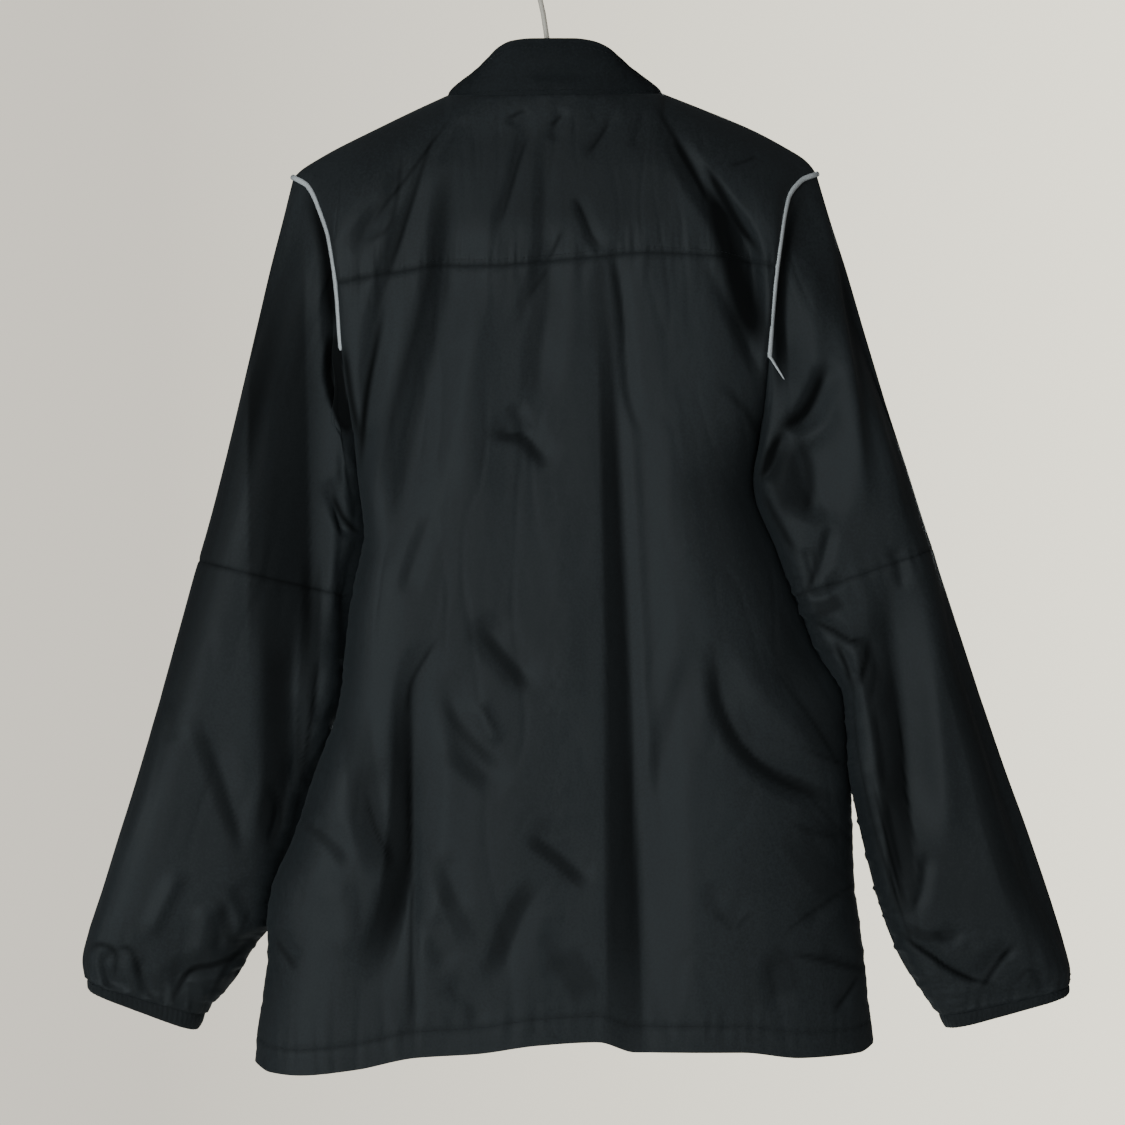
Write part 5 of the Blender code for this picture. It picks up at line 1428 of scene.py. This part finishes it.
class WINDBREAKER_OT_cuffs(Operator):
    """Narrow elastic binding at the end of each sleeve"""
    bl_idname = "windbreaker.cuffs"
    bl_label = "Cuffs"

    def execute(self, context):
        material = finishes()["cuff"]
        for side, word in ((-1, "left"), (1, "right")):
            points, _ = sleeve_rows(side, np.linspace(CUFF_SECTION, LAST_SECTION, CUFF_ROWS), CUFF_TURNS)
            normals = grid_normals(points, tube_outward(points), closed=True)
            run = np.cumsum(np.linalg.norm(np.diff(points, axis=1, append=points[:, :1]), axis=2), axis=1)
            height = np.linspace(0, 1, CUFF_ROWS)[:, None]
            bulge = 0.7 * np.sin(math.pi * height) ** 0.6 - 0.5
            ribs = 0.28 * np.sin(run * 2 * math.pi / 4.1)
            ribs += 0.5 * noise(run / 11, height * 1.2, CUFF_SEED + side)
            points = points + normals * (bulge + ribs)[..., None]
            piece = cloth_mesh("cuff_" + word + "_binding", points, CUFF_WALL, material, tube_outward(points),
                               True)
            finish_piece(piece, "jacket", "cuff_knit", "cuff_" + word)
        return {"FINISHED"}


class WINDBREAKER_OT_collar(Operator):
    """Stand collar, one turned band"""
    bl_idname = "windbreaker.collar"
    bl_label = "Collar"

    def execute(self, context):
        points = collar_surface(COLLAR_COLUMNS, COLLAR_ROWS, COLLAR_SEED)
        flat = points * np.array([1, 1, 0])
        piece = cloth_mesh("collar_band", points, COLLAR_WALL, finishes()["collar"], flat)
        finish_piece(piece, "jacket", "collar_cloth", "collar")
        return {"FINISHED"}


def armhole_frames(side, turns):
    """The armhole seam with the outward direction of the cloth on it, at turns from 0 to 1."""
    ring = armhole_curve(side, turns)
    down = np.where(turns <= 0.5, turns, 1 - turns) * 4
    inside = np.array([body_surface(side, np.array([0.965]), np.array([d]), t <= 0.5)[0]
                       for d, t in zip(down, turns)])
    tangents = np.gradient(ring, axis=0)
    normals = np.cross(tangents, inside - ring)
    normals /= np.maximum(np.linalg.norm(normals, axis=1, keepdims=True), 1e-9)
    hint = np.stack([0.25 * side + 0 * ring[:, 0], ring[:, 1] / 12, 0.3 + 0 * ring[:, 0]], axis=1)
    normals *= np.where((normals * hint).sum(axis=1) > 0, 1, -1)[:, None]
    normals += np.array([side * 0.55, 0, 0])
    return ring, normals / np.linalg.norm(normals, axis=1, keepdims=True)


class WINDBREAKER_OT_piping(Operator):
    """Light piping on each armhole seam, over the shoulder"""
    bl_idname = "windbreaker.piping"
    bl_label = "Piping"

    def execute(self, context):
        radius = context.scene.windbreaker_trim.piping_radius / MM
        strength = context.scene.windbreaker_cloth.fold_strength
        for side, word in ((-1, "left"), (1, "right")):
            turns = np.linspace(-PIPING_REACH[side], PIPING_REACH[side], PIPING_POINTS)
            ring, normals = armhole_frames(side, turns % 1.0)
            path = ring + normals * 0.9
            sizes = np.ones(len(path))
            if side > 0:
                run = self.lying(path[-1], PIPING_END, strength)
                tail = self.lying(run[-1], PIPING_TAIL, strength)
                path = np.concatenate([path, run, tail])
                turned = np.linspace(0, 1, len(run) + len(tail))[:, None]
                turned = normals[-1] * (1 - turned) + np.array([0.25, -0.95, 0.0]) * turned
                normals = np.concatenate([normals, turned])
                sizes = np.concatenate([sizes, np.ones(len(run)), np.linspace(0.6, 0.25, len(tail))])
            piece = tube_along("piping_" + word + "_cord", path, radius, finishes()["piping"], normals, sizes)
            finish_piece(piece, "jacket", "piping_cloth", "piping_" + word)
        return {"FINISHED"}

    def lying(self, start, end, strength):
        """Points on the right sleeve, from just past start to end."""
        upper = sleeve_surface(1, np.linspace(0, ELBOW_SECTION, 104), SLEEVE_TURNS, SLEEVE_SEED + 1, strength)
        points = upper[:40, :SLEEVE_TURNS // 2 + 1].reshape(-1, 3)
        spots = []
        for part in np.linspace(0.08, 1, 12):
            x, z = start[[0, 2]] + (np.array(end) - start[[0, 2]]) * part
            near = np.argsort((points[:, 0] - x) ** 2 + (points[:, 2] - z) ** 2)[:4]
            spots.append((x, min(points[near, 1].min() - 0.7, start[1]), z))
        return np.array(spots)


def zip_line():
    """Middle of the zip from the collar's top to the hem, with its outward directions."""
    seam, top = neck_curve(np.array([-1.0, 1.0]))
    seam, top = seam.mean(axis=0), top.mean(axis=0)
    share = np.array([ZIP_EDGE / SHOULDER_HALF])
    body = [np.mean([body_surface(side, share, np.array([down]), False)[0] for side in (-1, 1)], axis=0)
            for down in np.linspace(0, 3, 90)]
    path = resample([top + (seam - top) * 0.14, seam] + body[1:], 3.0)
    tangents = np.gradient(path, axis=0)
    normals = np.cross(tangents, [1.0, 0, 0])
    normals *= np.where(normals[:, 1] > 0, 1, -1)[:, None]
    return path, normals / np.linalg.norm(normals, axis=1, keepdims=True)


class WINDBREAKER_OT_zip(Operator):
    """Front zip: woven tape, two rows of moulded teeth, slider and pull tab"""
    bl_idname = "windbreaker.zip"
    bl_label = "Zip"

    def execute(self, context):
        pitch = context.scene.windbreaker_trim.tooth_pitch / MM
        path, normals = zip_line()
        across = np.linspace(-TAPE_HALF, TAPE_HALF, TAPE_COLUMNS)
        points = path[:, None, :] - normals[:, None, :] * TAPE_BEHIND
        points = points + across[None, :, None] * np.array([1.0, 0, 0])
        tape = cloth_mesh("zip_tape", points, TAPE_WALL, finishes()["tape"], panel_outward(points, False))
        finish_piece(tape, "jacket", "zip_tape", "zip")
        finish_piece(self.teeth(path, normals, pitch), "jacket", "zip_tape")
        for node, name, bevel, body in (("zip_slider", "zip_slider_body", 0.35, "jacket"),
                                        ("zip_pull", "zip_pull_tab", 0.25, "pull")):
            piece = refined_copy(node, name, bevel, 0, finishes()["metal"])
            finish_piece(piece, body, "zip_metal", node)
        return {"FINISHED"}

    def tooth(self):
        """One moulded tooth: a block with bevelled edges."""
        deselect()
        bpy.ops.mesh.primitive_cube_add(size=1.0)
        block = bpy.context.active_object
        block.dimensions = Vector(TOOTH_SIZE) * MM
        bpy.ops.object.transform_apply(location=False, rotation=False, scale=True)
        bevel = block.modifiers.new("edge", "BEVEL")
        bevel.width = 0.22 * MM
        bevel.segments = 1
        apply_modifiers(block)
        return block

    def teeth(self, path, normals, pitch):
        """Two rows of teeth that mesh, each with its head narrowed."""
        block = self.tooth()
        shape = np.array([vertex.co for vertex in block.data.vertices])
        polygons = [list(polygon.vertices) for polygon in block.data.polygons]
        bpy.data.objects.remove(block, do_unlink=True)
        centres = resample(path, pitch / 2)
        verts, faces = [], []
        for index, centre in enumerate(centres):
            k = min(len(path) - 1, int(index * len(path) / len(centres)))
            normal = normals[k]
            down = np.cross([1.0, 0, 0], normal)
            side = 1 if index % 2 else -1
            base = len(verts)
            for x, y, z in shape:
                head = 0.62 if x * side < 0 else 1.0
                spot = np.array([x + side * 0.75 * MM, 0, 0]) + normal * y + down * z * head
                verts.append(tuple(centre * MM - normal * 0.1 * MM + spot))
            faces += [[base + v for v in polygon] for polygon in polygons]
        return solid_mesh("zip_teeth", verts, faces, finishes()["teeth"], 40)


class WINDBREAKER_OT_stitching(Operator):
    """Thread stitches along the hem, the yoke seam, the neck seam and the zip"""
    bl_idname = "windbreaker.stitching"
    bl_label = "Stitching"

    def execute(self, context):
        pitch = context.scene.windbreaker_trim.stitch_pitch / MM
        strength = context.scene.windbreaker_cloth.fold_strength
        back = back_panel(BODY_DOWN, BACK_COLUMNS, BACK_SEED, strength)
        yoke = back_panel(YOKE_DOWN, BACK_COLUMNS, BACK_SEED, strength)
        fronts = [front_panel(side, FRONT_DOWN, FRONT_COLUMNS, FRONT_SEED + side, strength)
                  for side in (-1, 1)]
        above_seam = len(yoke) - 3
        seams = {
            "stitching_hem": [self.above_hem(points, points is back) for points in (back, *fronts)],
            "stitching_yoke": [(yoke[above_seam], grid_normals(yoke, panel_outward(yoke, True))[above_seam])],
            "stitching_zip": [self.beside_zip(front) for front in fronts],
            "stitching_collar": self.collar_lines(),
        }
        for name, lines in seams.items():
            piece = stitch_row(name, lines, finishes()["thread"], pitch)
            finish_piece(piece, "jacket", "shell")
        return {"FINISHED"}

    def above_hem(self, points, back):
        """The line one hem height above the edge, followed column by column."""
        normals = grid_normals(points, panel_outward(points, back))
        line, ways = [], []
        last = len(points) - 1
        for column in range(points.shape[1]):
            up = points[:, column, 2] - points[-1, column, 2] - HEM_HEIGHT
            row = int(np.argmin(np.abs(up)))
            below = points[min(row + 1, last), column]
            part = float(np.clip(up[row] / (points[row, column, 2] - below[2]), -1, 1))
            beside = points[min(max(row + (1 if part > 0 else -1), 0), last), column]
            line.append(points[row, column] + (beside - points[row, column]) * abs(part))
            ways.append(normals[row, column])
        return np.array(line), np.array(ways)

    def beside_zip(self, points):
        """The column of a front that runs along the seam of the zip, from just under the neck."""
        normals = grid_normals(points, panel_outward(points, False))
        across = np.abs(points[CHEST_ROW, :, 0])
        column = int(np.argmin(np.abs(across - ZIP_SEAM)))
        return points[4:, column], normals[4:, column]

    def collar_lines(self):
        """The rows just above the neck seam and just below the top edge."""
        points = collar_surface(COLLAR_COLUMNS, COLLAR_ROWS, COLLAR_SEED)
        normals = grid_normals(points, points * np.array([1, 1, 0]))
        last = COLLAR_ROWS - 1
        height = np.linalg.norm(points[-1] - points[0], axis=1).mean()
        return [(points[row, 2:-2], normals[row, 2:-2])
                for row in (int(last * 3.0 / height) + 1, last - int(last * 3.5 / height) - 1)]


class WINDBREAKER_OT_hanger(Operator):
    """Hanger arms and hook, smoothed, on the same body"""
    bl_idname = "windbreaker.hanger"
    bl_label = "Hanger"

    def execute(self, context):
        for node, finish, slot in (("hanger_arms", "plastic", "hanger_plastic"),
                                   ("hanger_hook", "hook", "hook_metal")):
            piece = refined_copy(node, node + "_smooth", 0.5, 1, finishes()[finish])
            if node == "hanger_hook":
                for vertex in piece.data.vertices:
                    vertex.co += vertex.normal * HOOK_PAINT * MM
            finish_piece(piece, "jacket", slot, node)
        return {"FINISHED"}


# The stage, in metres: the floor, and lamps by name, place, what they face, size and power in watts
FLOOR_RADIUS, FLOOR_LEVEL = 1.2, -1.25
LIGHTS = (
    ("key light", (-1.3, -2.3, -0.35), (0.0, 0.0, -0.48), 1.4, 39.0),
    ("soft light", (1.3, -2.6, -0.3), (0.0, 0.0, -0.5), 2.0, 6.0),
    ("front light", (0.5, 2.6, 0.0), (0.0, 0.0, -0.45), 1.8, 42.0),
)
LIGHT_COLOR = (0.86, 0.97, 1.0)


class WINDBREAKER_OT_stage(Operator):
    """Pale studio: floor, surround, soft lights and camera"""
    bl_idname = "windbreaker.stage"
    bl_label = "Stage"

    def execute(self, context):
        scene = context.scene
        world = scene.world or bpy.data.worlds.new("studio")
        scene.world = world
        world.use_nodes = True
        self.surround(world.node_tree)
        self.floor()
        for lamp in LIGHTS:
            self.light(*lamp)
        camera = bpy.data.cameras.new("camera")
        camera.sensor_width = SENSOR_WIDTH
        camera.lens = SENSOR_WIDTH * -CAMERA_PLACE[1] / (FRAME_PIXELS * PIXEL_SIZE)
        camera.clip_end = 50
        eye = bpy.data.objects.new("camera", camera)
        eye.location = Vector(CAMERA_PLACE) * MM
        eye.rotation_euler = (math.radians(90), 0, 0)
        scene.collection.objects.link(eye)
        scene.camera = eye
        return {"FINISHED"}

    def surround(self, tree):
        """A pale surround for the camera, and a dimmer one of the same colour for light and reflections."""
        shown = tree.nodes["Background"]
        shown.inputs["Strength"].default_value = 1.0
        place, split = node(tree, "ShaderNodeTexCoord"), node(tree, "ShaderNodeSeparateXYZ")
        # The camera's surround grows brighter toward +X: painted light across the backdrop
        ramp = node(tree, "ShaderNodeValToRGB")
        ramp.color_ramp.elements[0].position = 0.38
        ramp.color_ramp.elements[0].color = (1.02, 0.96, 0.83, 1.0)
        ramp.color_ramp.elements[1].position = 0.72
        ramp.color_ramp.elements[1].color = (2.1, 2.0, 1.62, 1.0)
        tree.links.new(place.outputs["Generated"], split.inputs[0])
        tree.links.new(math_node(tree, "MULTIPLY_ADD", split.outputs[0], 1.0, 0.5), ramp.inputs["Fac"])
        tree.links.new(ramp.outputs["Color"], shown.inputs["Color"])
        dim = node(tree, "ShaderNodeBackground")
        dim.inputs["Color"].default_value = (1.0, 0.98, 0.95, 1.0)
        dim.inputs["Strength"].default_value = 0.10
        path, mix = node(tree, "ShaderNodeLightPath"), node(tree, "ShaderNodeMixShader")
        tree.links.new(path.outputs["Is Camera Ray"], mix.inputs[0])
        tree.links.new(dim.outputs[0], mix.inputs[1])
        tree.links.new(shown.outputs[0], mix.inputs[2])
        tree.links.new(mix.outputs[0], tree.nodes["World Output"].inputs["Surface"])

    def floor(self):
        """A round floor that glows a little for the camera, so that it reads as pale as the surround."""
        deselect()
        bpy.ops.mesh.primitive_circle_add(vertices=96, radius=FLOOR_RADIUS, fill_type="NGON",
                                          location=(0, 0, FLOOR_LEVEL))
        floor = bpy.context.active_object
        floor.name = "floor"
        bpy.ops.object.transform_apply(location=True, rotation=False, scale=False)
        made, tree, shader = base_material("floor", (0.70, 0.68, 0.65), 0.85)
        seen = node(tree, "ShaderNodeLightPath")
        shader.inputs["Emission Color"].default_value = (1.0, 0.93, 0.82, 1.0)
        glow = math_node(tree, "MULTIPLY", seen.outputs["Is Camera Ray"], 0.42)
        tree.links.new(glow, shader.inputs["Emission Strength"])
        grain = noise_texture(tree, node(tree, "ShaderNodeTexCoord").outputs["Object"], 180.0)
        add_bump(tree, shader, [(grain, 0.2 * MM)])
        floor.data.materials.append(made)

    def light(self, name, place, target, size, power):
        lamp = bpy.data.lights.new(name, "AREA")
        lamp.shape = "DISK"
        lamp.size = size
        lamp.energy = power
        lamp.color = LIGHT_COLOR
        obj = bpy.data.objects.new(name, lamp)
        obj.location = place
        obj.rotation_euler = (Vector(target) - Vector(place)).to_track_quat("-Z", "Y").to_euler()
        bpy.context.scene.collection.objects.link(obj)


OPERATORS = (WINDBREAKER_OT_stage, WINDBREAKER_OT_back, WINDBREAKER_OT_fronts, WINDBREAKER_OT_sleeves,
             WINDBREAKER_OT_cuffs, WINDBREAKER_OT_collar, WINDBREAKER_OT_piping, WINDBREAKER_OT_zip,
             WINDBREAKER_OT_stitching, WINDBREAKER_OT_hanger)


class WINDBREAKER_PT_panel(Panel):
    """Sizes, colours and the pieces of the jacket"""
    bl_label = "Windbreaker jacket"
    bl_space_type = "VIEW_3D"
    bl_region_type = "UI"
    bl_category = "Windbreaker"

    def draw(self, context):
        layout = self.layout
        for settings in (context.scene.windbreaker_cloth, context.scene.windbreaker_trim):
            for name in settings.__annotations__:
                layout.prop(settings, name)
        for operator in OPERATORS:
            layout.operator(operator.bl_idname)


CLASSES = (WindbreakerCloth, WindbreakerTrim, *OPERATORS, WINDBREAKER_PT_panel)


def register():
    for made in CLASSES:
        bpy.utils.register_class(made)
    bpy.types.Scene.windbreaker_cloth = PointerProperty(type=WindbreakerCloth)
    bpy.types.Scene.windbreaker_trim = PointerProperty(type=WindbreakerTrim)


def unregister():
    del bpy.types.Scene.windbreaker_trim
    del bpy.types.Scene.windbreaker_cloth
    for made in reversed(CLASSES):
        bpy.utils.unregister_class(made)


def main():
    register()
    for operator in OPERATORS:
        group, name = operator.bl_idname.split(".")
        getattr(getattr(bpy.ops, group), name)()


if __name__ == "__main__":
    main()
